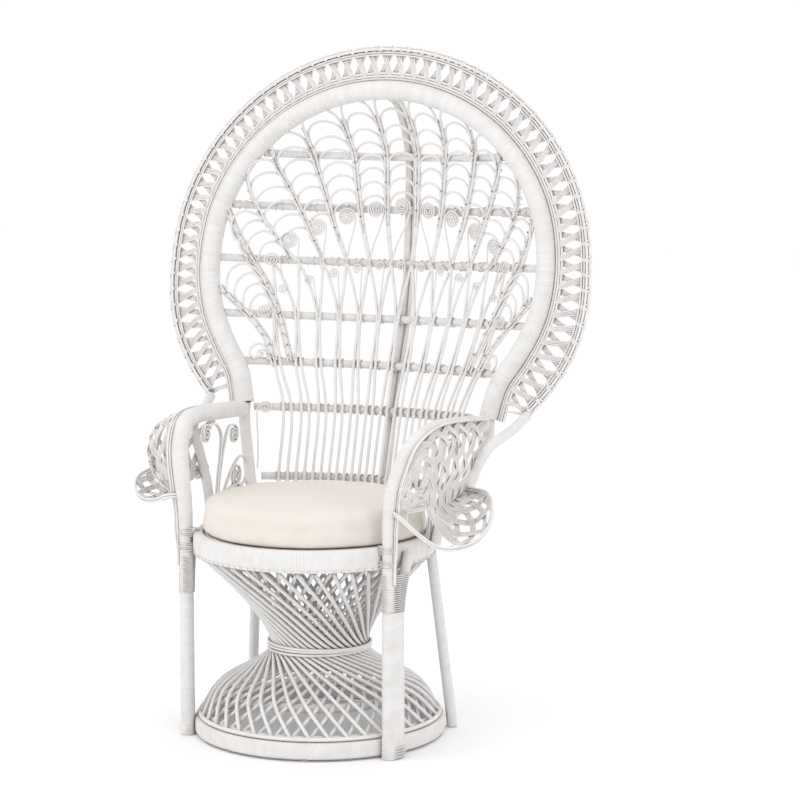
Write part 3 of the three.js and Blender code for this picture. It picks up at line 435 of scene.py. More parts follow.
HOOP_LEG = [(0, 0), (0.14, 0.2), (0.34, 0.31), (0.58, 0.45), (0.8, 0.6), (0.94, 0.76)]
RIM_LEG = [(0, 0), (0.12, 0.05), (0.3, 0.12), (0.54, 0.27), (0.79, 0.45), (0.96, 0.68)]
HOOP_HALF_ARCH = half_arch(HOOP_HALF, HOOP_TOP, HOOP_WIDEST, HOOP_END, HOOP_LEG)
RIM_HALF_ARCH = half_arch(RIM_HALF, RIM_TOP, RIM_WIDEST, RIM_END, RIM_LEG)


def offset_flat(path, shares, outwards):
    """Points beside a flat arch."""
    points = []
    for share in shares:
        tangent = path.tangent(share)
        points.append(path.at(share) + outwards * vec(tangent[2], 0, -tangent[0]))
    return points


def flat_arch(half, outwards=0.0):
    whole = list(half) + [(-x, s) for x, s in half[-2::-1]]
    count = 2 * len(half)
    return Path(offset_flat(Path([vec(x, 0, s) for x, s in whole]), np.arange(count + 1) / count, outwards))


HOOP_FLAT = flat_arch(HOOP_HALF_ARCH)
RIM_FLAT = flat_arch(RIM_HALF_ARCH)
EDGING_FLAT = flat_arch(HOOP_HALF_ARCH, EDGING_STANDOFF)


def lift(flat_points, depth=0.0):
    """Flat points of (x, -, s) laid into the leaning plane at a depth."""
    return np.array([on_back(p[0], depth, p[2]) for p in flat_points])


def hoop_half_at(s):
    if s >= HOOP_WIDEST:
        rise = min(1.0, (s - HOOP_WIDEST) / (HOOP_TOP - HOOP_WIDEST))
        return HOOP_HALF * math.sqrt(max(0.0, 1 - rise * rise))
    outline = [LOWEST] + list(HOOP_HALF_ARCH)
    for (x0, s0), (x1, s1) in zip(outline, outline[1:]):
        if s0 <= s < s1:
            return x0 + (x1 - x0) * (s - s0) / (s1 - s0)
    return LOWEST[0]


RUNGS = [(share * HOOP_TOP, DEEPEST_BOW * bow) for share, bow in zip(RUNG_SHARES, BOW_SHARES)]


def bow_at(s):
    if s > RUNGS[0][0]:
        share = min(1.0, (s - RUNGS[0][0]) / (HOOP_TOP - RUNGS[0][0]))
        return RUNGS[0][1] * (1 - share ** 1.5)
    for (s1, b1), (s0, b0) in zip(RUNGS, RUNGS[1:]):
        if s0 <= s <= s1:
            return b0 + (b1 - b0) * (s - s0) / (s1 - s0)
    return RUNGS[-1][1]


def on_fan(x, s, offset):
    def depth_at(across, up):
        half = max(1.0, hoop_half_at(up))
        return bow_at(up) * (1 - min(1.0, abs(across) / half) ** 2)

    step = 8.0
    depth = depth_at(x, s)
    slope_x = (depth_at(x + step, s) - depth_at(x - step, s)) / (2 * step)
    slope_s = (depth_at(x, s + step) - depth_at(x, s - step)) / (2 * step)
    length = math.sqrt(slope_x ** 2 + slope_s ** 2 + 1)
    share = min(1.0, abs(x) / max(1.0, hoop_half_at(s)))
    rise = RUNG_RISE * (1 - share * share)
    return on_back(
        x + slope_x / length * offset, depth - offset / length, s + rise + slope_s / length * offset
    )


FAN_OFFSET = RUNG_RADIUS + STAKE_RADIUS + SEAT_GAP + 1.0
SCROLL_OFFSET = FAN_OFFSET + 3.6


def flat_line(rows, per_span=24):
    """A smooth line through flat (x, s) points."""
    return Path([vec(x, s, 0) for x, s in rows], per_span)


# Posts, arms and legs of the right side; the left side is their mirror.
POST_FOOT = around(SEAT_RADIUS + POST_RADIUS + SEAT_GAP, POST_AZIMUTH, 0, SEAT_Y)
BASE_RADIUS = math.hypot(POST_FOOT[0], POST_FOOT[1] - BASE_Y) - POST_RADIUS - SEAT_GAP
BASE_TOP = GLIDE_HEIGHT + BASE_HEIGHT
ARM_SHARES = [
    (0, 0, 0), (0, 0, 0.33), (0, 0, 0.65), (0.04, 0, 0.74), (0.22, 0, 0.83), (0.52, 0.04, 0.907),
    (0.74, 0.11, 0.96), (0.95, 0.2, 0.988), (1, 0.36, 1), (0.95, 0.6, 0.995), (1.2, 0.85, 0.985),
    (1.45, 1, 0.975),
]
ARM_SPAN = vec(ARM_X, ARM_REAR_Y, ARM_HEIGHT) - POST_FOOT
ARM_PATH = Path([POST_FOOT + vec(*share) * ARM_SPAN for share in ARM_SHARES])


def smoothstep(x, low, high):
    t = min(1.0, max(0.0, (x - low) / (high - low)))
    return t * t * (3 - 2 * t)


def arm_swell(share):
    return 1 + (ARM_RADIUS / POST_RADIUS - 1) * smoothstep(share, 0.42, 0.62)


def between(start, end, shares):
    return Path([start + vec(*share) * (end - start) for share in shares])


HOOP_PATH = Path(lift([HOOP_FLAT.at(k / 60) for k in range(61)]))
RIM_PATH = Path(lift([RIM_FLAT.at(k / 80) for k in range(81)]))
RING_MIDDLE = SEAT_BOTTOM + SEAT_HEIGHT / 2
REAR_ARM_PATH = between(
    HOOP_PATH.at(0), around(SEAT_RADIUS + REAR_ARM_RADIUS + SEAT_GAP, math.radians(125), RING_MIDDLE, SEAT_Y),
    [(0, 0, 0), (0, 0.03, 0.16), (0.24, 0.28, 0.42), (0.5, 0.55, 0.68), (0.8, 0.83, 0.87), (1, 1, 1)],
)
WING_POLE_PATH = between(
    RIM_PATH.at(0), around(SEAT_RADIUS + WING_POLE_RADIUS + SEAT_GAP, math.radians(96), RING_MIDDLE, SEAT_Y),
    [(0, 0, 0), (0.1, 0.28, 0.1), (0.25, 0.62, 0.2), (0.48, 0.72, 0.4), (0.75, 0.85, 0.62),
     (0.94, 0.97, 0.83), (1, 1, 1)],
)


def second_pole_path():
    post_reach = BASE_RADIUS + POST_RADIUS + SEAT_GAP
    reach = BASE_RADIUS + SECOND_RADIUS + SEAT_GAP
    apart = POST_RADIUS + SECOND_RADIUS + SEAT_GAP
    turn = math.acos((post_reach ** 2 + reach ** 2 - apart ** 2) / (2 * post_reach * reach))
    azimuth = math.atan2(POST_FOOT[0], BASE_Y - POST_FOOT[1]) + turn + math.radians(0.2)
    foot = around(reach + 1.6, azimuth, 0, BASE_Y)
    top = around(
        SEAT_RADIUS + SECOND_RADIUS + SEAT_GAP, math.radians(73), SEAT_TOP - SEAT_HEIGHT / 3, SEAT_Y
    )
    return Path([foot, vec(foot[0], foot[1], MERGE_HEIGHT / 2), vec(foot[0], foot[1], MERGE_HEIGHT), top])


def rear_leg_path():
    top_height = SEAT_BOTTOM - SEAT_GAP
    top = around(251, math.radians(121.5), top_height, SEAT_Y)
    touch = around(BASE_RADIUS + REAR_LEG_RADIUS + SEAT_GAP + 1.2, math.radians(120.5), BASE_TOP, BASE_Y)
    foot = touch + (touch - top) * BASE_TOP / (top_height - BASE_TOP)
    return Path([foot, touch, top])


SECOND_PATH = second_pole_path()
REAR_LEG_PATH = rear_leg_path()


def mirrored(points, hand):
    return np.array(points) * vec(hand, 1, 1)


SIDES = (("right", 1), ("left", -1))
FOUR_LANES = (-1.5, -0.5, 0.5, 1.5)


# Loops of cane that lash members together.
def lashing(builder, centre, axis, front, half_along, half_front, tilt, radius, points, sides=5):
    """One turn of cane: an ellipse round a member that runs along axis, its far side pulled over front."""
    axis, front = unit(axis), unit(front - unit(axis) * front.dot(unit(axis)))
    third = np.cross(axis, front)
    loop = []
    for k in range(points):
        angle = TURN * k / points
        across = third * half_along * math.sin(angle) + front * half_front * math.cos(angle)
        loop.append(centre + across + axis * tilt * math.sin(angle))
    builder.tube(loop, radius, sides, closed=True, flat=0.7)


def make_seat():
    ring = Builder()
    section = rounded_band(SEAT_THICKNESS, SEAT_HEIGHT, 8.5, 0.6)
    centre = SEAT_RADIUS - SEAT_THICKNESS / 2 - 0.6
    ring.sweep(ring_points(centre, RING_MIDDLE, SEAT_Y, 168), section, closed=True, up=vec(0, 0, 1))
    ring.piece("seat_ring_wound", ["seat_ring"], BAND)
    edge = Builder()
    edge.tube(ring_points(SEAT_RADIUS - 5, SEAT_BOTTOM + 1.5, SEAT_Y, 140), 3.4, 8, closed=True)
    edge.tube(ring_points(SEAT_RADIUS - 24, SEAT_BOTTOM - 2.5, SEAT_Y, 140), 3.2, 8, closed=True)
    for k in range(96):
        azimuth = TURN * (k + 0.5) / 96
        centre_point = around(SEAT_RADIUS - 5, azimuth, SEAT_BOTTOM + 1.5, SEAT_Y)
        axis = vec(math.cos(azimuth), math.sin(azimuth), 0)
        lashing(edge, centre_point, axis, vec(0, 0, 1), 4.4, 4.4, 1.5, 1.2, 10, 4)
    edge.piece("seat_edge_reeds")
    deck = Builder()
    deck_top = SEAT_TOP - DECK_DROP
    radius = SEAT_RADIUS - SEAT_THICKNESS - SEAT_GAP - 4
    count = int(radius / 7.2)
    for k in range(count):
        reach = 8 + k * (radius - 8) / (count - 1)
        deck.tube(ring_points(reach, deck_top - 4, SEAT_Y, 90), 3.9, 8, closed=True)
    for k in range(24):
        azimuth = TURN * k / 24
        deck.tube([around(reach, azimuth, deck_top - 8.5, SEAT_Y) for reach in (10, radius)], 3, 6)
    deck.piece("seat_deck_reeds", ["seat_deck"])


def make_base():
    ring = Builder()
    section = rounded_band(BASE_THICKNESS, BASE_HEIGHT, 6.5, 0.5)
    centre = BASE_RADIUS - BASE_THICKNESS / 2 - 0.5
    points = ring_points(centre, GLIDE_HEIGHT + BASE_HEIGHT / 2, BASE_Y, 176)
    ring.sweep(points, section, closed=True, up=vec(0, 0, 1))
    ring.piece("base_ring_wound", ["base_ring"], BAND)
    glides = Builder()
    for azimuth in (-20, 20, -160, 160):
        middle = around(BASE_RADIUS - BASE_THICKNESS / 2, math.radians(azimuth), 0, BASE_Y)
        rows = [(0.15, 6.5), (1.4, 7.6), (2.6, 8.6), (GLIDE_HEIGHT, 9)]
        points = [middle + vec(0, 0, h) for h, _ in rows]
        glides.tube(points, 1, 18, swell=[r for _, r in rows])
    glides.piece("glides", ["glide_front_left", "glide_front_right", "glide_rear_left", "glide_rear_right"])


def pole_route(turn, hand, inward):
    top_height = SEAT_BOTTOM - 3.55
    foot_height = BASE_TOP + SEAT_GAP + POLE_HOOP_RADIUS
    foot_radius = BASE_RADIUS - 7 - POLE_HOOP_RADIUS
    twist_up, twist_mid, twist_foot = math.radians(-63), math.radians(56), math.radians(67.5)
    stations = [
        (POLE_TOP_RADIUS, twist_up, top_height, SEAT_Y),
        (lerp(WAIST_RADIUS, POLE_TOP_RADIUS, 0.35), twist_up * 0.72, (WAIST_HEIGHT + top_height) / 2,
         (SEAT_Y + BASE_Y) / 2),
        (WAIST_RADIUS, 0, WAIST_HEIGHT, BASE_Y),
        (lerp(WAIST_RADIUS, SHOULDER_RADIUS, 0.36), twist_mid * 0.69, (WAIST_HEIGHT + SHOULDER_HEIGHT) / 2,
         BASE_Y),
        (SHOULDER_RADIUS, twist_mid, SHOULDER_HEIGHT, BASE_Y),
        (foot_radius, twist_foot, foot_height, BASE_Y),
    ]
    points = []
    last = len(stations) - 1
    for i, (radius, twist, height, y) in enumerate(stations):
        before, after = stations[max(0, i - 1)], stations[min(last, i + 1)]
        run = math.hypot(after[0] - before[0], after[2] - before[2])
        inwards, upwards = (before[2] - after[2]) / run, (before[0] - after[0]) / run
        is_end = i in (0, last)
        radial = inward / inwards if is_end else inward * inwards
        rise = 0 if is_end else inward * upwards
        points.append(around(radius - radial, turn + hand * twist, height + rise, y))
    return Path(points)


def make_hourglass():
    for name, hand, inward in (("outer_poles", 1, 0.0), ("inner_poles", -1, POLE_LAYER)):
        layer = Builder()
        for k in range(POLE_COUNT):
            route = pole_route(TURN * k / POLE_COUNT, hand, inward)
            layer.tube(route.spaced(34), POLE_RADIUS * 1.04, 8, start=random.random())
        foot = pole_route(0, hand, inward).at(1)
        radius = math.hypot(foot[0], foot[1] - BASE_Y)
        layer.tube(ring_points(radius, foot[2], BASE_Y, 120), POLE_HOOP_RADIUS, 8, closed=True)
        layer.piece(name + "_reeds", [name])
    bell = pole_route(0, 1, POLE_LAYER)
    flat = [(math.hypot(p[0], p[1] - BASE_Y), p[2]) for p in bell.spaced(6)]
    before, middle, after = flat[4:]
    run = math.hypot(after[0] - before[0], after[1] - before[1])
    standoff = 10 + POLE_RADIUS + 0.7
    centre = middle[0] + (after[1] - before[1]) / run * standoff
    height = middle[1] - (after[0] - before[0]) / run * standoff
    hoop = Builder()
    hoop.tube(ring_points(centre, height, BASE_Y, 120), 10, 14, closed=True)
    hoop.piece("shoulder_hoop_wound", ["shoulder_hoop"], WOUND)
    binding = Builder()
    reed = 3.1
    centre = WAIST_RADIUS + POLE_RADIUS + reed + 1.5
    for k in range(3):
        level = WAIST_HEIGHT + (k - 1) * 5.4
        turns = [TURN * i / 100 for i in range(100)]
        points = [around(centre, turn, level + 2.2 * math.sin(turn + k), BASE_Y) for turn in turns]
        binding.tube(points, reed, 8, closed=True)
    binding.piece("waist_binding_reeds", ["waist_binding"])


def make_posts():
    for side, hand in SIDES:
        arm = Builder()
        shares = np.linspace(0, 0.985, 110)
        arm.tube(
            mirrored(ARM_PATH.at(shares), hand), POST_RADIUS, 20, swell=[arm_swell(s) for s in shares]
        )
        arm.piece("arm_post_wound_" + side, ["arm_post_" + side], WOUND)
        others = (
            ("second_pole", SECOND_PATH, SECOND_RADIUS, 60),
            ("rear_leg", REAR_LEG_PATH, REAR_LEG_RADIUS, 50),
            ("rear_arm_post", REAR_ARM_PATH, REAR_ARM_RADIUS, 50),
            ("wing_pole", WING_POLE_PATH, WING_POLE_RADIUS, 60),
        )
        for name, path, radius, count in others:
            pole = Builder()
            points = path.spaced(count)
            if name == "rear_leg":
                points = points[points[:, 2] > 0.4]
                points[0][2] = LEG_CUT
            pole.tube(mirrored(points, hand), radius, 16)
            pole.piece(name + "_wound_" + side, [name + "_" + side], WOUND)
        ties = Builder()
        # The post and the second pole are wound as one up to where they part, and lashed there.
        foot = POST_FOOT * vec(hand, 1, 0)
        heights = SECOND_PATH.dense[:, 2]

        def apart_at(height):
            beside = [np.interp(height, heights, SECOND_PATH.dense[:, i]) for i in range(2)]
            return vec(beside[0] * hand, beside[1], 0) - foot

        apart = apart_at(100)
        span, front = np.linalg.norm(apart), unit(apart)
        section = []
        for k in range(36):
            angle = TURN * k / 36
            side_part, front_part = math.cos(angle), math.sin(angle)
            far = span * front_part + SECOND_RADIUS + 0.4 > POST_RADIUS + 1.1
            radius = SECOND_RADIUS + 0.4 if far else POST_RADIUS + 1.1
            section.append((radius * side_part, radius * front_part + (span - 1.2 if far else 0)))
        joint = Builder()
        levels = np.linspace(1.0, MERGE_HEIGHT - 16, 40)
        joint.sweep([foot + vec(0, 0, z) for z in levels], section, up=front)
        joint.piece("post_wound_joint_" + side, material=WOUND)
        for first, last, count in ((8, 26, 4), (MERGE_HEIGHT - 16, MERGE_HEIGHT + 62, 18)):
            for height in np.linspace(first, last, count):
                apart = apart_at(height)
                span = np.linalg.norm(apart)
                centre = foot + vec(0, 0, height) + unit(apart) * (span + SECOND_RADIUS - POST_RADIUS) / 2
                lashing(ties, centre, vec(0, 0, 1), unit(apart), POST_RADIUS + 1.6,
                        (span + SECOND_RADIUS + POST_RADIUS) / 2 + 1.4, 1.4, 1.8, 24)
        outward = vec(math.sin(POST_AZIMUTH) * hand, -math.cos(POST_AZIMUTH), 0)
        along = vec(math.cos(POST_AZIMUTH) * hand, math.sin(POST_AZIMUTH), 0)
        # Cane crosses over the post and the seat ring, near the ring's top and near its bottom.
        for height in (SEAT_TOP - 6, SEAT_BOTTOM + 8):
            for sign in (-1, 1):
                for k in range(3):
                    lashing(ties, foot + vec(0, 0, height + k * 3.6) - outward * 6,
                            unit(vec(0, 0, 1) + along * 0.28 * sign), outward,
                            POST_RADIUS + 2.0, 22, 1.0, TIE_REED, 24)
        ties.piece("post_ties_" + side)


def make_hoop():
    hoop = Builder()
    hoop.tube(HOOP_PATH.spaced(200), HOOP_RADIUS, 22)
    hoop.piece("back_hoop_wound", ["back_hoop"], WOUND)
    shares = np.linspace(0, 1, 260)
    rim = Builder()
    for outwards, depth in ((3.2, 0.0), (-2.4, 3.3), (-2.4, -3.3)):
        rim.tube(lift(offset_flat(RIM_FLAT, shares, outwards), depth), RIM_REED, 7)
    inside = np.linspace(0.004, 0.996, 240)
    for outwards, depth, radius, sides in ((-15.0, -3.0, 1.9, 6), (-9.6, 0.0, 3.1, 7)):
        rim.tube(lift(offset_flat(RIM_FLAT, inside, outwards), depth), radius, sides)
    rim.piece("border_rim_reeds", ["border_rim"])
    edging = Builder()
    for outwards, depth in ((-3.0, -1.5), (3.0, -1.5), (0.0, 3.0)):
        edging.tube(lift(offset_flat(EDGING_FLAT, np.linspace(0, 1, 240), outwards), depth), EDGING_REED, 7)
    edging.tube(lift(offset_flat(HOOP_FLAT, np.linspace(0, 1, 200), HOOP_RADIUS + 3.4), 0.0), RIM_REED, 7)
    edging.piece("border_edging_reeds", ["border_edging"])
    make_lace()


LACE_FIGURES = 66
LACE_LANE = 0.104
LACE_END = 0.012


def make_lace():
    """Two strands of four reeds cross from the edging to the rim and back, and loop over both."""
    lace = Builder()
    dense = RIM_FLAT.spaced(1600)
    frames = []
    count = LACE_FIGURES * 4
    for k in range(count + 1):
        share = lerp(LACE_END, 1 - LACE_END, k / count)
        inner = EDGING_FLAT.at(share)
        outer = dense[np.argmin(np.sum((dense - inner) ** 2, axis=1))]
        frames.append((inner, outer))
    frames = np.array(frames)
    ks = np.arange(count + 1) / 4.0

    def place(figure, across, depth):
        inner = np.array([np.interp(figure, ks, frames[:, 0, i]) for i in range(3)])
        outer = np.array([np.interp(figure, ks, frames[:, 1, i]) for i in range(3)])
        flat = lerp(inner, outer, across)
        return on_back(flat[0], depth, flat[2])

    # One figure of a strand: out to the rim, along it, back to the edging and along that. Each row is
    # (figure, across, depth); figures are counted in pitches.
    half = [
        (-0.34, 0.0, 3.4), (-0.34, -0.06, -0.5), (-0.32, 0.06, -4.4), (-0.2, 0.24, -3.6), (0.0, 0.5, -1.6),
        (0.2, 0.78, 1.8), (0.31, 0.95, 4.6), (0.34, 1.045, 1.0), (0.38, 1.0, -4.9), (0.5, 0.92, -4.6),
    ]
    back = [
        (0.62, 1.0, -4.9), (0.66, 1.045, 1.0), (0.69, 0.95, 4.6), (0.8, 0.78, 3.4), (1.0, 0.5, 2.4),
        (1.2, 0.24, 1.4), (1.32, 0.07, 3.6), (1.34, -0.04, 5.4), (1.5, -0.05, 5.8), (1.66, -0.04, 5.4),
    ]
    # The second strand's legs share the first strand's figures: its way out runs where the first comes back.
    for strand in (0, 1):
        for lane in FOUR_LANES:
            rows = []
            figure = strand
            while figure + 2 <= LACE_FIGURES:
                for f, c, d in half + back:
                    rows.append((figure + f + lane * LACE_LANE * (1 if c < 0.9 else 0.3), c, d))
                figure += 2
            points = []
            for f, c, d in rows:
                aside = lane * (0.032 if c > 0.9 else 0.022 if c < 0.1 else 0)
                points.append(place(min(max(f, 0), LACE_FIGURES), c + aside, d))
            path = Path(points, per_span=6)
            lace.tube(path.spaced(len(points) * 3), LACE_REED, 5)
    lace.piece("border_lace_reeds", ["border_lace"])


RUNG_INSETS = (20, 18, 16, 16, 18, 16, 12)


def make_rungs():
    for i, (s, _) in enumerate(RUNGS):
        half = hoop_half_at(s) - RUNG_INSETS[i]
        rung = Builder()
        rung.tube([on_fan(x, s, 0) for x in np.linspace(-half, half, 61)], RUNG_RADIUS, 14)
        rung.piece(f"rung_wound_{i + 1}", [f"rung_{i + 1}"], WOUND_FINE)
    ties = Builder()
    for index in (6, 5, 4, 3):
        s = RUNGS[index][0]
        for k in range(STAKE_COUNT):
            tie_stake(ties, stake_x(k, s), s, crossed=index > 3 or k % 2 == 0)
    for index, pitch in ((2, NODE_PITCH), (1, CROWN_PITCH)):
        s = RUNGS[index][0]
        for k in range(-5, 6):
            if abs(k * pitch) < hoop_half_at(s) - 30:
                tie_stake(ties, k * pitch, s, wide=1.5)
    ties.piece("rung_ties")


def tie_stake(ties, x, s, crossed=True, wide=1.0):
    """Cane crosses over a stake and round the rung behind it."""
    here = on_fan(x, s, 0)
    axis = unit(on_fan(x + 4, s, 0) - on_fan(x - 4, s, 0))
    front = unit(on_fan(x, s, 10) - here)
    centre = here + front * 2.2
    for sign in (-1, 1) if crossed else (1,):
        lashing(ties, centre, axis, front, RUNG_RADIUS + 1.6, RUNG_RADIUS + 4.6, 5.2 * sign * wide,
                TIE_REED, 16, 5)


# Stakes of the fan.
def stake_rows(i):
    centred = i - (STAKE_COUNT - 1) / 2
    group = i // 2
    middle = (STAKE_COUNT / 2 - 1) / 2
    group_x = (group - middle) * GROUP_PITCH
    side = 1 if i % 2 else -1
    node_x = (group - middle + side * 0.5) * NODE_PITCH
    pair_x = group_x + side * STAKE_RADIUS * 1.02
    return [
        (centred * STAKE_PITCH, RUNGS[6][0]),
        (lerp(centred * STAKE_PITCH, pair_x, 0.14), RUNGS[5][0]),
        (lerp(centred * STAKE_PITCH, pair_x, 0.64), RUNGS[4][0]),
        (pair_x, RUNGS[3][0]),
        (lerp(pair_x, node_x, 0.4), lerp(RUNGS[3][0], RUNGS[2][0], 0.5)),
        (node_x, RUNGS[2][0]),
    ]


def stake_x(i, s):
    rows = stake_rows(i)
    return float(np.interp(s, [r[1] for r in rows], [r[0] for r in rows]))


def spiral_rows(centre, radius, turns, start_angle, hand):
    """Flat (x, s) points of a reed that winds in to the centre from start_angle."""
    rows = []
    count = int(turns * 16)
    for k in range(count + 1):
        turn = k / 16
        reach = max(1.6, radius - SCROLL_PITCH * turn)
        angle = start_angle + hand * TURN * turn
        rows.append((centre[0] + reach * math.cos(angle), centre[1] + reach * math.sin(angle)))
    return rows


def scroll(builder, centre, radius, tail, hand, turns, reed=SCROLL_REED, offset=SCROLL_OFFSET):
    """A flat scroll whose reed comes up along tail, flat (x, s) points, on the side given by hand."""
    start_angle = 0.0 if hand > 0 else math.pi
    rows = list(tail) + spiral_rows(centre, radius - reed, turns, start_angle, hand)
    flat = flat_line(rows, per_span=4)
    builder.tube([on_fan(x, s, offset) for x, s, _ in flat.spaced(int(flat.length / FAN_STEP))], reed, 6)


def make_stakes():
    fan = Builder()
    for i in range(STAKE_COUNT):
        rows = stake_rows(i)
        run = [(rows[0][0], rows[0][1] - 16, 0)] + list(flat_line(rows).spaced(46))
        fan.tube([on_fan(x, s, FAN_OFFSET - 0.4) for x, s, _ in run], STAKE_RADIUS + 0.75, 8)
    groups = STAKE_COUNT // 2
    for i in range(1, groups - 1):
        group = i - (groups - 1) / 2
        x = group * NODE_PITCH
        top = (x, RUNGS[2][0] - 6 - SMALL_DROP * (x / HOOP_HALF) ** 2)
        hand = 1 if group <= 0 else -1
        foot_x = group * GROUP_PITCH
        edge = top[0] + hand * SMALL_SCROLL
        tail = [(foot_x, RUNGS[3][0] - 4), (lerp(foot_x, edge, 0.5), lerp(RUNGS[3][0], top[1], 0.5)),
                (edge, top[1] - 8)]
        scroll(fan, top, SMALL_SCROLL + 2.0, tail, hand, 2.1, 2.0, FAN_OFFSET + 3)
    fan.piece("fan_stake_reeds", ["fan_stakes"])


# Spines of the crown, flat (x, s) points of the right half, from the stakes up to the hoop.
SPINE_ROWS = (
    ((27, 1022), (37, 1100), (40, 1183), (41, 1255), (42, 1303), (42, 1352), (42, 1392)),
    ((81, 1020), (101, 1110), (110, 1181), (117, 1252), (122, 1293), (124, 1338), (124, 1382)),
    ((135, 1018), (166, 1100), (184, 1166), (198, 1214), (208, 1265), (214, 1305), (217, 1350)),
    ((189, 1014), (218, 1080), (241, 1134), (263, 1184), (280, 1222), (290, 1262), (294, 1310)),
    ((243, 1008), (264, 1030), (285, 1058), (304, 1086), (322, 1114), (338, 1152), (345, 1185), (346, 1210)),
)
# For each bay: the scroll's centre, and how much higher the arch stands at its inner end.
BAYS = (((0, 1144), 0), ((68, 1135), 3), ((136, 1117), 6), ((203, 1090), 10), ((263, 1058), 16))
ARCH_PITCH = 31.0
# Two bundles of reeds below the crown at each side, and the arches between them.
SIDE_BUNDLES = (
    ((228, 776), (245, 818), (260, 857), (275, 895), (296, 942), (313, 972), (332, 1003), (352, 1040),
     (368, 1072), (378, 1100), (385, 1128), (389, 1150)),
    ((262, 776), (285, 823), (309, 854), (335, 884), (356, 904), (379, 926), (396, 946)),
)
SIDE_ARCHES = (
    ((326, 1008), (321, 1035), (309, 1050), (293, 1053), (277, 1042), (264, 1018)),
    ((336, 1008), (348, 1034), (343, 1058), (318, 1077), (297, 1069), (281, 1050), (268, 1024)),
    ((346, 1012), (362, 1036), (362, 1066), (349, 1092), (329, 1101), (309, 1091), (293, 1070), (278, 1044)),
    ((372, 1052), (380, 1080), (375, 1108), (354, 1122), (334, 1117), (318, 1106), (298, 1072)),
    ((316, 864), (328, 886), (331, 908), (316, 930), (297, 920), (285, 896), (274, 868)),
    ((326, 876), (343, 898), (348, 920), (343, 942), (325, 954), (306, 945), (292, 926), (279, 900)),
    ((344, 895), (360, 914), (366, 936), (360, 961), (341, 978), (320, 969), (303, 949), (288, 924)),
    ((362, 908), (376, 924), (383, 952), (377, 983), (357, 998), (338, 993), (318, 975), (301, 946)),
    ((300, 778), (313, 792), (311, 806), (299, 814), (286, 806), (274, 786), (262, 762)),
)
SIDE_SCROLLS = (((299, 1011), 19.0, 3.4), ((301, 888), 19.0, 3.4))
# The lower two: centre, radius, the tail's points, the side that it comes up on, and turns.
LOW_SCROLLS = (
    ((291, 790), 12.5, ((268, RUNGS[4][0] - 2), (277, RUNGS[4][0] + 1)), -1, 2.2),
    ((264, 672), 16.0, ((262, 535), (270, 600), (278, 655)), 1, 2.8),
)


def height_run(rows):
    """The x of a line of flat points as a function of height."""
    line = flat_line(rows).spaced(60)
    return lambda s: float(np.interp(s, line[:, 1], line[:, 0]))


def inside_hoop(x, s, margin=4.0):
    if s > HOOP_WIDEST:
        rise = (s - HOOP_WIDEST) / (HOOP_TOP - HOOP_WIDEST - margin)
        return (x / (HOOP_HALF - margin)) ** 2 + rise ** 2 < 1
    return abs(x) < hoop_half_at(s) - margin


def reed_on_fan(builder, rows, reed, offset):
    """A reed along flat points on the fan, cut where it runs under the hoop."""
    flat = flat_line(rows, per_span=8)
    run = []
    for p in list(flat.spaced(max(6, int(flat.length / FAN_STEP)))) + [None]:
        if p is not None and inside_hoop(p[0], p[1]):
            run.append(on_fan(p[0], p[1], offset))
            continue
        if len(run) > 3:
            builder.tube(np.array(run), reed, 7)
        run = []


def arch_rows(left, right, spring, tilt):
    """Flat points of an arch whose legs run down beside the two spines."""
    low_left, low_right = spring - tilt / 2, spring + tilt / 2
    rows = [(left(low_left - d) + aside, low_left - d) for d, aside in ((74, 2.9), (48, 2.9), (22, 3.4))]
    x0, x1 = left(low_left) + 5.5, right(low_right) - 5.5
    middle, half = vec((x0 + x1) / 2, spring), vec((x1 - x0) / 2, tilt / 2)
    rise = half[0] * 0.86
    for degrees in (180, 152, 122, 90, 58, 28, 0):
        angle = math.radians(degrees)
        rows.append(tuple(middle + half * math.cos(angle) + vec(0, rise * math.sin(angle))))
    rows += [(right(low_right - d) - aside, low_right - d) for d, aside in ((22, 3.4), (48, 2.9), (74, 2.9))]
    return rows


def crown_springs(left, right, centre):
    """Heights from which the arches of a bay spring, from its scroll up to the hoop."""
    springs = []
    crest = centre[1] + LARGE_SCROLL + 13
    while len(springs) < 9:
        half = (right(crest - 30) - left(crest - 30)) / 2 - 5.5
        if not inside_hoop((left(crest) + right(crest)) / 2, crest - 30, HOOP_RADIUS):
            break
        springs.append(crest - half * 0.86)
        crest += ARCH_PITCH
    return springs


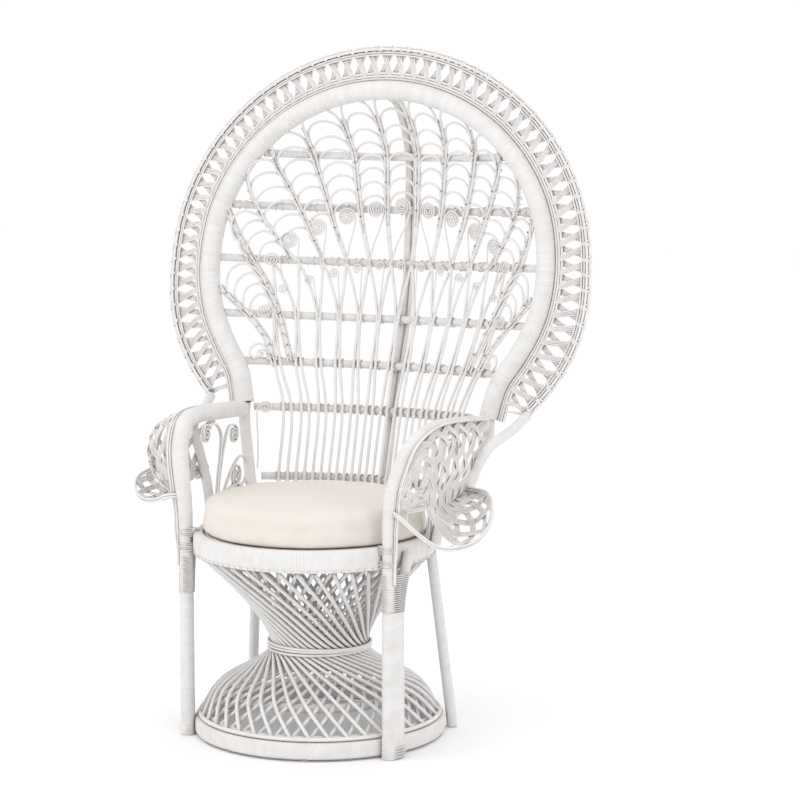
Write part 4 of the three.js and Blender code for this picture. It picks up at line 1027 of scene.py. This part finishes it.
def make_crown():
    crown, ties, nails = Builder(), Builder(), Builder()
    spines = [height_run(rows) for rows in SPINE_ROWS]
    inners = [lambda s: -spines[0](s)] + spines[:-1]
    springs = [crown_springs(inner, outer, bay[0]) for inner, outer, bay in zip(inners, spines, BAYS)]
    for hand in (1, -1):
        for index, (_, tilt) in enumerate(BAYS):
            if index == 0 and hand < 0:
                continue
            inner, outer = inners[index], spines[index]
            for k, spring in enumerate(springs[index]):
                rows = [(x * hand, s) for x, s in arch_rows(inner, outer, spring, -tilt)]
                reed_on_fan(crown, rows, ARCH_REED, FAN_OFFSET + (0.4, 4.4)[k % 2])
        for index, spine in enumerate(spines):
            first = SPINE_ROWS[index][0][1]
            scroll_height = BAYS[min(index + 1, 4)][0][1]
            for side in (-2.9, 2.9):
                rows = [(hand * (spine(s) + side), s) for s in np.linspace(first, scroll_height + 46, 8)]
                reed_on_fan(crown, rows, SPINE_REED, FAN_OFFSET)
            top = max(row[-1] for row in springs[index : index + 2]) - 12
            rows = [(hand * spine(s), s) for s in np.linspace(first, top, 12)]
            reed_on_fan(crown, rows, 2.5, FAN_OFFSET + 0.8)
            s, k = scroll_height - 14.0, 0
            while s < top and inside_hoop(spine(s), s + 14, HOOP_RADIUS):
                bind_spine(ties, nails, hand * spine(s), s, 1 if k % 2 else -1, k % 4 == 1)
                s, k = s + ARCH_PITCH / 2, k + 1
        for bundle in SIDE_BUNDLES:
            for side in (-5.2, 0.0, 5.2):
                rows = [(hand * (x + side), s - side * 0.4) for x, s in bundle]
                reed_on_fan(crown, rows, SPINE_REED, FAN_OFFSET + (0.0 if side else 3.0))
            line = flat_line(bundle)
            for k in range(int(line.length / 26)):
                p = line.at((k + 0.5) * 26 / line.length)
                bind_spine(ties, nails, hand * p[0], p[1], 1 if k % 2 else -1, k % 3 == 1)
        for k, rows in enumerate(SIDE_ARCHES):
            reed_on_fan(crown, [(hand * x, s) for x, s in rows], ARCH_REED, FAN_OFFSET + (0.8, 4.6)[k % 2])
        for centre, radius, turns in SIDE_SCROLLS:
            tail = [(hand * (centre[0] - radius * 1.9), centre[1] - radius * 3.6),
                    (hand * (centre[0] - radius * 1.25), centre[1] - radius * 1.4)]
            scroll(crown, (hand * centre[0], centre[1]), radius, tail, -hand, turns)
        for centre, radius, tail, turn_hand, turns in LOW_SCROLLS:
            tail = [(hand * x, s) for x, s in tail]
            scroll(crown, (hand * centre[0], centre[1]), radius, tail, hand * turn_hand, turns)
    for k in range(-4, 5):
        (x, s), _ = BAYS[abs(k)]
        hand = 1 if k <= 0 else -1
        side = 1 if k >= 0 else -1
        foot = ((k - hand * 0.5) * NODE_PITCH, RUNGS[2][0] + 4)
        edge = side * x + hand * (LARGE_SCROLL + 0.5)
        tail = [(foot[0], foot[1] - 8), (lerp(foot[0], edge, 0.35), lerp(foot[1], s, 0.34)),
                (lerp(foot[0], edge, 0.78), lerp(foot[1], s, 0.66)), (edge, s - 12)]
        scroll(crown, (side * x, s), LARGE_SCROLL + 2.7, tail, hand, 3.4, 2.3)
    crown.piece("fan_crown_reeds", ["fan_crown"])
    ties.piece("crown_ties")
    nails.piece("crown_nails", material=NAIL)


def bind_spine(ties, nails, x, s, slant, nailed):
    """A short binding round a spine, and the head of a nail in front of it."""
    here = on_fan(x, s, FAN_OFFSET + 1.5)
    axis, front = unit(on_fan(x, s + 5, 0) - on_fan(x, s - 5, 0)), unit(on_fan(x, s, 12) - on_fan(x, s, 0))
    lashing(ties, here, axis, front, 7.0, 6.4, 2.6 * slant, 1.35, 14, 5)
    if nailed:
        points = [here + front * d for d in (5.2, 7.6, 8.6, 9.0)]
        nails.tube(points, 1.0, 8, swell=[1.5, 1.5, 1.1, 0.4])


def make_spine():
    for name, radius, x in (("back_spine", SPINE_RADIUS, 0.0),
                            ("thin_spine", THIN_SPINE_RADIUS, SPINE_RADIUS + THIN_SPINE_RADIUS + SEAT_GAP)):
        behind = -(RUNG_RADIUS + radius + SEAT_GAP + 0.6)
        heights = [lerp(HOOP_TOP, RUNGS[0][0], t) for t in (0.3, 0.65)] + [s for s, _ in RUNGS]
        points = [on_back(x, HOOP_RADIUS, HOOP_TOP - RUNG_RISE)]
        for s in heights:
            p = on_fan(0, s, behind)
            points.append(vec(x, p[1], p[2]))
        points.append(vec(x, SEAT_Y + SEAT_RADIUS + radius + SEAT_GAP, SEAT_TOP - SEAT_HEIGHT))
        spine = Builder()
        spine.tube(Path(points).spaced(90), radius, 12)
        spine.piece(name + "_wound", [name], WOUND_FINE)


# Wings.
WING_RIM = [
    (0, 0, 1), (0.18, -0.1, 0.9), (0.37, 0.01, 0.38), (0.58, 0.1, 0.03), (0.85, 0.31, 0.1),
    (0.98, 0.44, 0.52), (1, 0.51, 1.1), (0.88, 0.65, 1.3), (0.6, 0.9, 1.28), (0.34, 1, 1.28),
]
WING_FOLD = [
    (0.18, 0.03, 0.98), (0.32, 0.22, 0.95), (0.355, 0.45, 0.97), (0.4, 0.64, 1.02), (0.4, 0.88, 1.08),
]
HANG_SWELLS = [(0.05, 0.15, 0), (0.25, 0.25, 0.05), (0.4, 0.15, 0.1), (0.4, 0, 0.1), (0.25, 0, 0)]
BOWL_SWELLS = [(0, 0, 0), (0, -0.3, -0.2), (0.1, -0.6, -0.3), (0.1, -0.5, -0.1), (0, -0.1, 0)]
# The left wing stands further out from its arm.
WIDE_HANG_SWELLS = [
    (0.45, 0.1, 0.15), (1.05, 0.1, 0.35), (1.2, 0.05, 0.45), (1.0, -0.1, 0.4), (0.45, -0.1, 0.1),
]
HANG_FROM = 0.2
WING_STRANDS = 11
WING_STEPS = 150
WING_LANE = 3.5
WING_REED = 1.65
# How often a strand crosses the wing, and how sharply it turns at the edges, up to 1.
WING_WAVES = 0.66
WING_POINT = 0.985


def wing_point(shares, drop):
    out, back, up = shares
    height = WING_MOUTH - (1 - min(1, up)) * drop + max(0, up - 1) * WING_RISE
    return vec(lerp(POST_FOOT[0], WING_REACH, out), lerp(POST_FOOT[1], WING_REAR_Y, back), height)


def wing_rim_path(drop):
    return Path([wing_point(shares, drop) for shares in WING_RIM])


def beside_arm(share, standoff):
    along = ARM_PATH.tangent(share)
    away = vec(0.8, -0.35, 0.45)
    away = unit(away - along * away.dot(along))
    return ARM_PATH.at(share) + away * standoff


def wing_edge_path(extra=0.0):
    points = []
    for i in range(13):
        share = lerp(0.44, 0.97, i / 12)
        points.append(beside_arm(share, POST_RADIUS * arm_swell(share) + 5.0 + extra))
    return Path(points)


def make_wing(side, hand, drop):
    edge, rim = wing_edge_path(), wing_rim_path(drop)
    fold = Path([wing_point(shares, drop) for shares in WING_FOLD])
    hang = HANG_SWELLS if hand > 0 else WIDE_HANG_SWELLS
    swells = [Path([vec(x, -y, z) * WING_SWELL for x, y, z in table]) for table in (hang, BOWL_SWELLS)]

    def surface(u, v):
        middle = fold.param(u)
        if v > 0.5:
            end, swell, standoff, t = rim.param(u), swells[1].param(u), 4.8, 2 - 2 * v
        else:
            end, swell, standoff, t = edge.param(lerp(HANG_FROM, 1, u)), swells[0].param(u), 3.4, 2 * v
        control = lerp(end, middle, 0.5) + swell
        end = end + unit(control - end) * (standoff + 1.0)
        return end * (1 - t) ** 2 + control * 2 * t * (1 - t) + middle * t ** 2

    # The surface as a table, read by bilinear steps.
    rows, columns = 60, 48
    table = np.array([[surface(i / rows, j / columns) for j in range(columns + 1)] for i in range(rows + 1)])
    for _ in range(3):
        inner = table[:, 1:-1] * 0.5 + (table[:, :-2] + table[:, 2:]) * 0.25
        table = np.concatenate([table[:, :1], inner, table[:, -1:]], axis=1)

    def smooth_surface(u, v):
        a, b = min(rows - 1e-6, max(0, u * rows)), min(columns - 1e-6, max(0, v * columns))
        i, j = int(a), int(b)
        fa, fb = a - i, b - j
        near = lerp(table[i, j], table[i, j + 1], fb)
        return lerp(near, lerp(table[i + 1, j], table[i + 1, j + 1], fb), fa)

    def normal(u, v):
        u0, u1, v0, v1 = max(0, u - 0.02), min(1, u + 0.02), max(0, v - 0.02), min(1, v + 0.02)
        return unit(np.cross(smooth_surface(u1, v) - smooth_surface(u0, v),
                             smooth_surface(u, v1) - smooth_surface(u, v0)))

    def reach(u):
        return lerp(0.47, 1.0, smoothstep(u, 0.28, 0.42))

    weave = Builder()
    for strand in range(WING_STRANDS):
        phase = TURN * strand / WING_STRANDS
        centre_line, normals = [], []
        first = (0.03, 0.3, 0.17)[strand % 3]
        for k in range(WING_STEPS + 1):
            u = lerp(first, 0.99, k / WING_STEPS)
            phi = TURN * WING_WAVES * u + phase
            v = 0.5 - 0.5 * math.asin(WING_POINT * math.cos(phi)) / math.asin(WING_POINT)
            v = (0.012 + 0.976 * v) * reach(u)
            lean = max(-1.0, min(1.0, math.sin(phi) * 3))
            out = normal(u, v)
            centre_line.append(smooth_surface(u, v) + out * (2.2 * math.cos(WING_STRANDS * phi) * lean))
            normals.append(out)
        centre_line, normals = np.array(centre_line), np.array(normals)
        tangents = np.gradient(centre_line, axis=0)
        tangents /= np.maximum(1e-9, np.linalg.norm(tangents, axis=1))[:, None]
        across = np.cross(normals, tangents)
        for lane in FOUR_LANES:
            weave.tube(mirrored(centre_line + across * lane * WING_LANE, hand), WING_REED, 6)
    for offset in (-2.2, 2.2):
        line = [smooth_surface(u, 0.47) + vec(0, 0, offset) for u in np.linspace(0.01, 0.42, 40)]
        weave.tube(mirrored(line, hand), 2.3, 6)
    stay_places = ((0.08, 0.16), (0.03, 0.32), (0.01, 0.47))
    stay = Path([smooth_surface(u, v) for u, v in stay_places] + [rim.at(0.12)])
    for offset in (-3.4, 0.0, 3.4):
        weave.tube(mirrored(stay.spaced(40) + vec(offset * 0.8, offset * 0.6, 0), hand), 1.9, 6)
    mouth = []
    for t in np.linspace(0, 1, 30):
        mouth.append(smooth_surface(0.36 + 0.05 * math.sin(math.pi * t), lerp(0.47, 0.985, t)))
    for offset in (-2.0, 2.0):
        weave.tube(mirrored(np.array(mouth) + vec(0, offset, 0), hand), 2.1, 6)
    weave.piece("wing_weave_strands_" + side, ["wing_weave_" + side])
    rims = Builder()
    rim_points = rim.spaced(90)
    for lift_by in (-2.7, 2.7):
        rims.tube(mirrored(rim_points + vec(0, 0, lift_by), hand), 2.7, 7)
    rims.piece("wing_rim_reeds_" + side, ["wing_rim_" + side])
    edges = Builder()
    for extra in (-2.0, 3.4):
        low = [beside_arm(lerp(0.37, 0.44, t), POST_RADIUS + 3.0 + extra * 0.4) for t in (0.0, 0.5)]
        line = Path(low + list(wing_edge_path(extra).spaced(12)))
        edges.tube(mirrored(line.spaced(80), hand), 2.5, 7)
    edges.piece("wing_edge_reeds_" + side, ["wing_edge_reed_" + side])


# Scrollwork under the arms. For each reed: its points, the middle that it winds in to, and its turn.
SCROLL_ROUTES = [
    ([(0.45, -0.02), (0.5, 0.4), (0.545, 0.66), (0.55, 0.82), (0.47, 0.93), (0.36, 0.93)], (0.32, 0.86), 1),
    ([(0.47, -0.02), (0.51, 0.35), (0.6, 0.7), (0.68, 0.86), (0.77, 0.86)], (0.76, 0.77), -1),
    ([(0.49, -0.02), (0.6, 0.25), (0.75, 0.46), (0.88, 0.53), (0.97, 0.42), (0.93, 0.27), (0.84, 0.24)],
     (0.8, 0.35), -1),
    ([(0.5, -0.02), (0.62, 0.2), (0.76, 0.27), (0.9, 0.2), (1, -0.02)], None, 1),
]


def make_scrollwork(side, hand):
    low, high = POST_FOOT, REAR_ARM_PATH.at(0.5)
    span = math.hypot(high[0] - low[0], high[1] - low[1])
    height = ARM_HEIGHT - ARM_RADIUS - SEAT_TOP

    def place(along, up, aside):
        x, y = lerp(low[0], high[0], along), lerp(low[1], high[1], along)
        normal = unit(vec(high[1] - low[1], low[0] - high[0], 0))
        return vec(x, y, SEAT_TOP + up * height * 1.05) + normal * aside

    work = Builder()
    for shares, centre, turn_hand in SCROLL_ROUTES:
        rows = list(shares)
        if centre:
            dx, dy = (rows[-1][0] - centre[0]) * span, (rows[-1][1] - centre[1]) * height
            radius, angle = math.hypot(dx, dy), math.atan2(dy, dx)
            turns = 2.3
            count = int(turns * 14)
            for k in range(1, count + 1):
                turn = angle + turn_hand * TURN * turns * k / count
                reach = radius * (1 - 0.9 * k / count)
                along, up = reach * math.cos(turn) / span, reach * math.sin(turn) / height
                rows.append((centre[0] + along, centre[1] + up))
        for aside in (-2.3, 2.3):
            path = Path([place(a, u, aside) for a, u in rows], per_span=6)
            work.tube(mirrored(path.spaced(max(40, len(rows) * 4)), hand), 2.3, 7)
    work.piece("arm_scroll_reeds_" + side, ["arm_scrollwork_" + side])


# Cushion.
CUSHION_VOXEL = 0.0055
CUSHION_CAP = 9.0
CUSHION_FRAMES = 20
# Radius, height and draw of the cushion's outline, from the middle of its base to that of its top.
CUSHION_SHARES = (
    (0, 0, 0), (0.5, 0, 0), (0.92, 0.0, 0), (0.965, 0.02, 0), (0.99, 0.08, 0), (0.998, 0.17, 0.1),
    (0.998, 0.27, 0.3), (0.998, 0.38, 0.75), (0.998, 0.45, 1.0), (0.998, 0.5, 1.05), (0.998, 0.56, 0.8),
    (0.998, 0.68, 0.4), (0.993, 0.78, 0.1), (0.975, 0.88, 0), (0.935, 0.95, 0), (0.87, 0.978, 0),
    (0.6, 0.994, 0), (0.3, 1.0, 0), (0, 1.0, 0),
)


def make_cushion():
    bottom = SEAT_TOP + SEAT_GAP
    shape = Builder()
    outline = Path([
        vec(r * (CUSHION_RADIUS - 2.5) - draw * CUSHION_DRAW, h * CUSHION_HEIGHT * 0.95, 0)
        for r, h, draw in CUSHION_SHARES
    ])
    rows = [(p[0], p[1]) for p in outline.spaced(64)][1:-1]
    count = 140
    grid = np.array([
        [around(r, TURN * k / count, bottom + h, SEAT_Y) for k in range(count)] for r, h in rows
    ])
    shape.grid(grid, lambda i, j: (j / count, i / 64), flip=True)
    cushion = shape.piece("seat_cushion_cloth", ["seat_cushion"], CLOTH, "cushion", "cushion_cloth")
    swell_cushion(cushion, bottom)


def corners_of(mesh, count):
    places = np.empty(count * 3)
    mesh.vertices.foreach_get("co", places)
    return places.reshape(-1, 3)


def swell_cushion(cushion, bottom):
    """Swells the cushion with a cloth simulation, capped, and applies it."""
    scene = bpy.context.scene
    bpy.context.view_layer.objects.active = cushion
    remesh = cushion.modifiers.new("remesh", "REMESH")
    remesh.mode, remesh.voxel_size = "VOXEL", CUSHION_VOXEL
    bpy.ops.object.modifier_apply(modifier=remesh.name)
    mesh = cushion.data
    before = corners_of(mesh, len(mesh.vertices))
    group = cushion.vertex_groups.new(name="held")
    held = [i for i, p in enumerate(before) if p[2] < (bottom + 1.5) * MM]
    group.add(held, 1.0, "REPLACE")
    cloth = cushion.modifiers.new("cloth", "CLOTH")
    settings = cloth.settings
    settings.quality = 5
    settings.use_pressure = True
    settings.uniform_pressure_force = 4.0
    settings.vertex_group_mass = "held"
    settings.tension_stiffness = settings.compression_stiffness = 18
    settings.shear_stiffness, settings.bending_stiffness = 6, 0.6
    settings.effector_weights.gravity = 0.0
    cloth.collision_settings.use_collision = False
    cloth.point_cache.frame_start = 1
    cloth.point_cache.frame_end = CUSHION_FRAMES
    for step in range(1, CUSHION_FRAMES + 1):
        scene.frame_set(step)
    depsgraph = bpy.context.evaluated_depsgraph_get()
    after = corners_of(cushion.evaluated_get(depsgraph).data, len(mesh.vertices))
    cushion.modifiers.remove(cloth)
    moved = after - before
    length = np.linalg.norm(moved, axis=1)
    cap = CUSHION_CAP * MM
    factor = np.where(length > cap, cap / np.maximum(length, 1e-9), 1.0)
    result = before + moved * factor[:, None]
    top = (bottom + CUSHION_HEIGHT) * MM
    result[:, 2] = np.clip(result[:, 2], bottom * MM, top)
    flat = np.hypot(result[:, 0], result[:, 1] - SEAT_Y * MM)
    most = CUSHION_RADIUS * MM
    shrink = np.where(flat > most, most / np.maximum(flat, 1e-9), 1.0)
    result[:, 0] *= shrink
    result[:, 1] = (result[:, 1] - SEAT_Y * MM) * shrink + SEAT_Y * MM
    mesh.vertices.foreach_set("co", result.ravel())
    mesh.update()
    scene.frame_set(1)
    mesh.polygons.foreach_set("use_smooth", [True] * len(mesh.polygons))
    smooth = cushion.modifiers.new("smooth", "SMOOTH")
    smooth.factor = 0.5
    smooth.iterations = 4
    bpy.ops.object.modifier_apply(modifier=smooth.name)
    detail = cushion.modifiers.new("detail", "SUBSURF")
    detail.levels = detail.render_levels = 1
    bpy.ops.object.modifier_apply(modifier=detail.name)


# Camera, floor and lights, in metres and degrees. The focal length is in pixels of the photograph.
CAMERA_AZIMUTH = 25.47
CAMERA_ELEVATION = 7.48
CAMERA_DISTANCE = 5.5
CAMERA_TARGET = Vector((0.1931, -0.092, 0.7357))
SENSOR_WIDTH = 36
FOCAL_PIXELS = 2601.5
PHOTO_PIXELS = 800
FLOOR_REACH = 14.0
FLOOR_DROP = 0.0002
LAMP_AIM = Vector((0, -0.05, 0.7))


def make_stage():
    scene = bpy.context.scene
    azimuth, elevation = math.radians(CAMERA_AZIMUTH), math.radians(CAMERA_ELEVATION)
    towards = Vector((
        math.sin(azimuth) * math.cos(elevation), -math.cos(azimuth) * math.cos(elevation), math.sin(elevation)
    ))
    camera = bpy.data.objects.new("camera", bpy.data.cameras.new("camera"))
    camera.data.sensor_width = SENSOR_WIDTH
    camera.data.lens = SENSOR_WIDTH * FOCAL_PIXELS / PHOTO_PIXELS
    camera.data.clip_end = 100
    right = Vector((math.cos(azimuth), math.sin(azimuth), 0))
    up = towards.cross(right)
    turn = Matrix((right, up, towards)).transposed()
    camera.matrix_world = Matrix.Translation(CAMERA_TARGET + towards * CAMERA_DISTANCE) @ turn.to_4x4()
    scene.collection.objects.link(camera)
    scene.camera = camera

    floor_mesh = bpy.data.meshes.new("floor")
    corners = ((-1, -1), (1, -1), (1, 1), (-1, 1))
    places = [(x * FLOOR_REACH, y * FLOOR_REACH, -FLOOR_DROP) for x, y in corners]
    floor_mesh.from_pydata(places, [], [(0, 1, 2, 3)])
    floor = bpy.data.objects.new("floor", floor_mesh)
    scene.collection.objects.link(floor)
    paper = Material("floor_paper")
    colour = paper.mix(paper.noise(3.0, 2.0), (0.985, 0.985, 0.985, 1), (0.975, 0.975, 0.975, 1))
    paper.surface(Base_Color=colour, Roughness=0.95, Specular_IOR_Level=0.1)
    floor_mesh.materials.append(paper.material)

    world = bpy.data.worlds.new("studio")
    world.use_nodes = True
    world.node_tree.nodes["Background"].inputs["Color"].default_value = (1.0, 1.0, 1.0, 1)
    world.node_tree.nodes["Background"].inputs["Strength"].default_value = 1.03
    scene.world = world
    lamps = (
        ("key", (-2.2, -3.4, 3.4), 2.4, 34, (1.0, 0.99, 0.98)),
        ("fill", (3.6, -2.6, 2.2), 2.6, 14, (0.99, 0.99, 1.0)),
        ("top", (0.2, 0.6, 4.2), 2.6, 14, (1.0, 1.0, 1.0)),
    )
    for name, place, size, power, tint in lamps:
        data = bpy.data.lights.new(name, "AREA")
        data.size, data.energy, data.color = size, power, tint
        lamp = bpy.data.objects.new(name, data)
        lamp.location = place
        aim = LAMP_AIM - Vector(place)
        lamp.rotation_euler = aim.to_track_quat("-Z", "Y").to_euler()
        scene.collection.objects.link(lamp)
    scene.view_settings.view_transform = "Standard"
    scene.view_settings.look = "None"
    scene.view_settings.exposure = 0.0


make_stage()
make_seat()
make_base()
make_hourglass()
make_posts()
make_hoop()
make_rungs()
make_stakes()
make_crown()
make_spine()
for name, hand, drop in (("right", 1, 75.0), ("left", -1, 25.0)):
    make_wing(name, hand, drop)
    make_scrollwork(name, hand)
make_cushion()

bpy.context.view_layer.update()
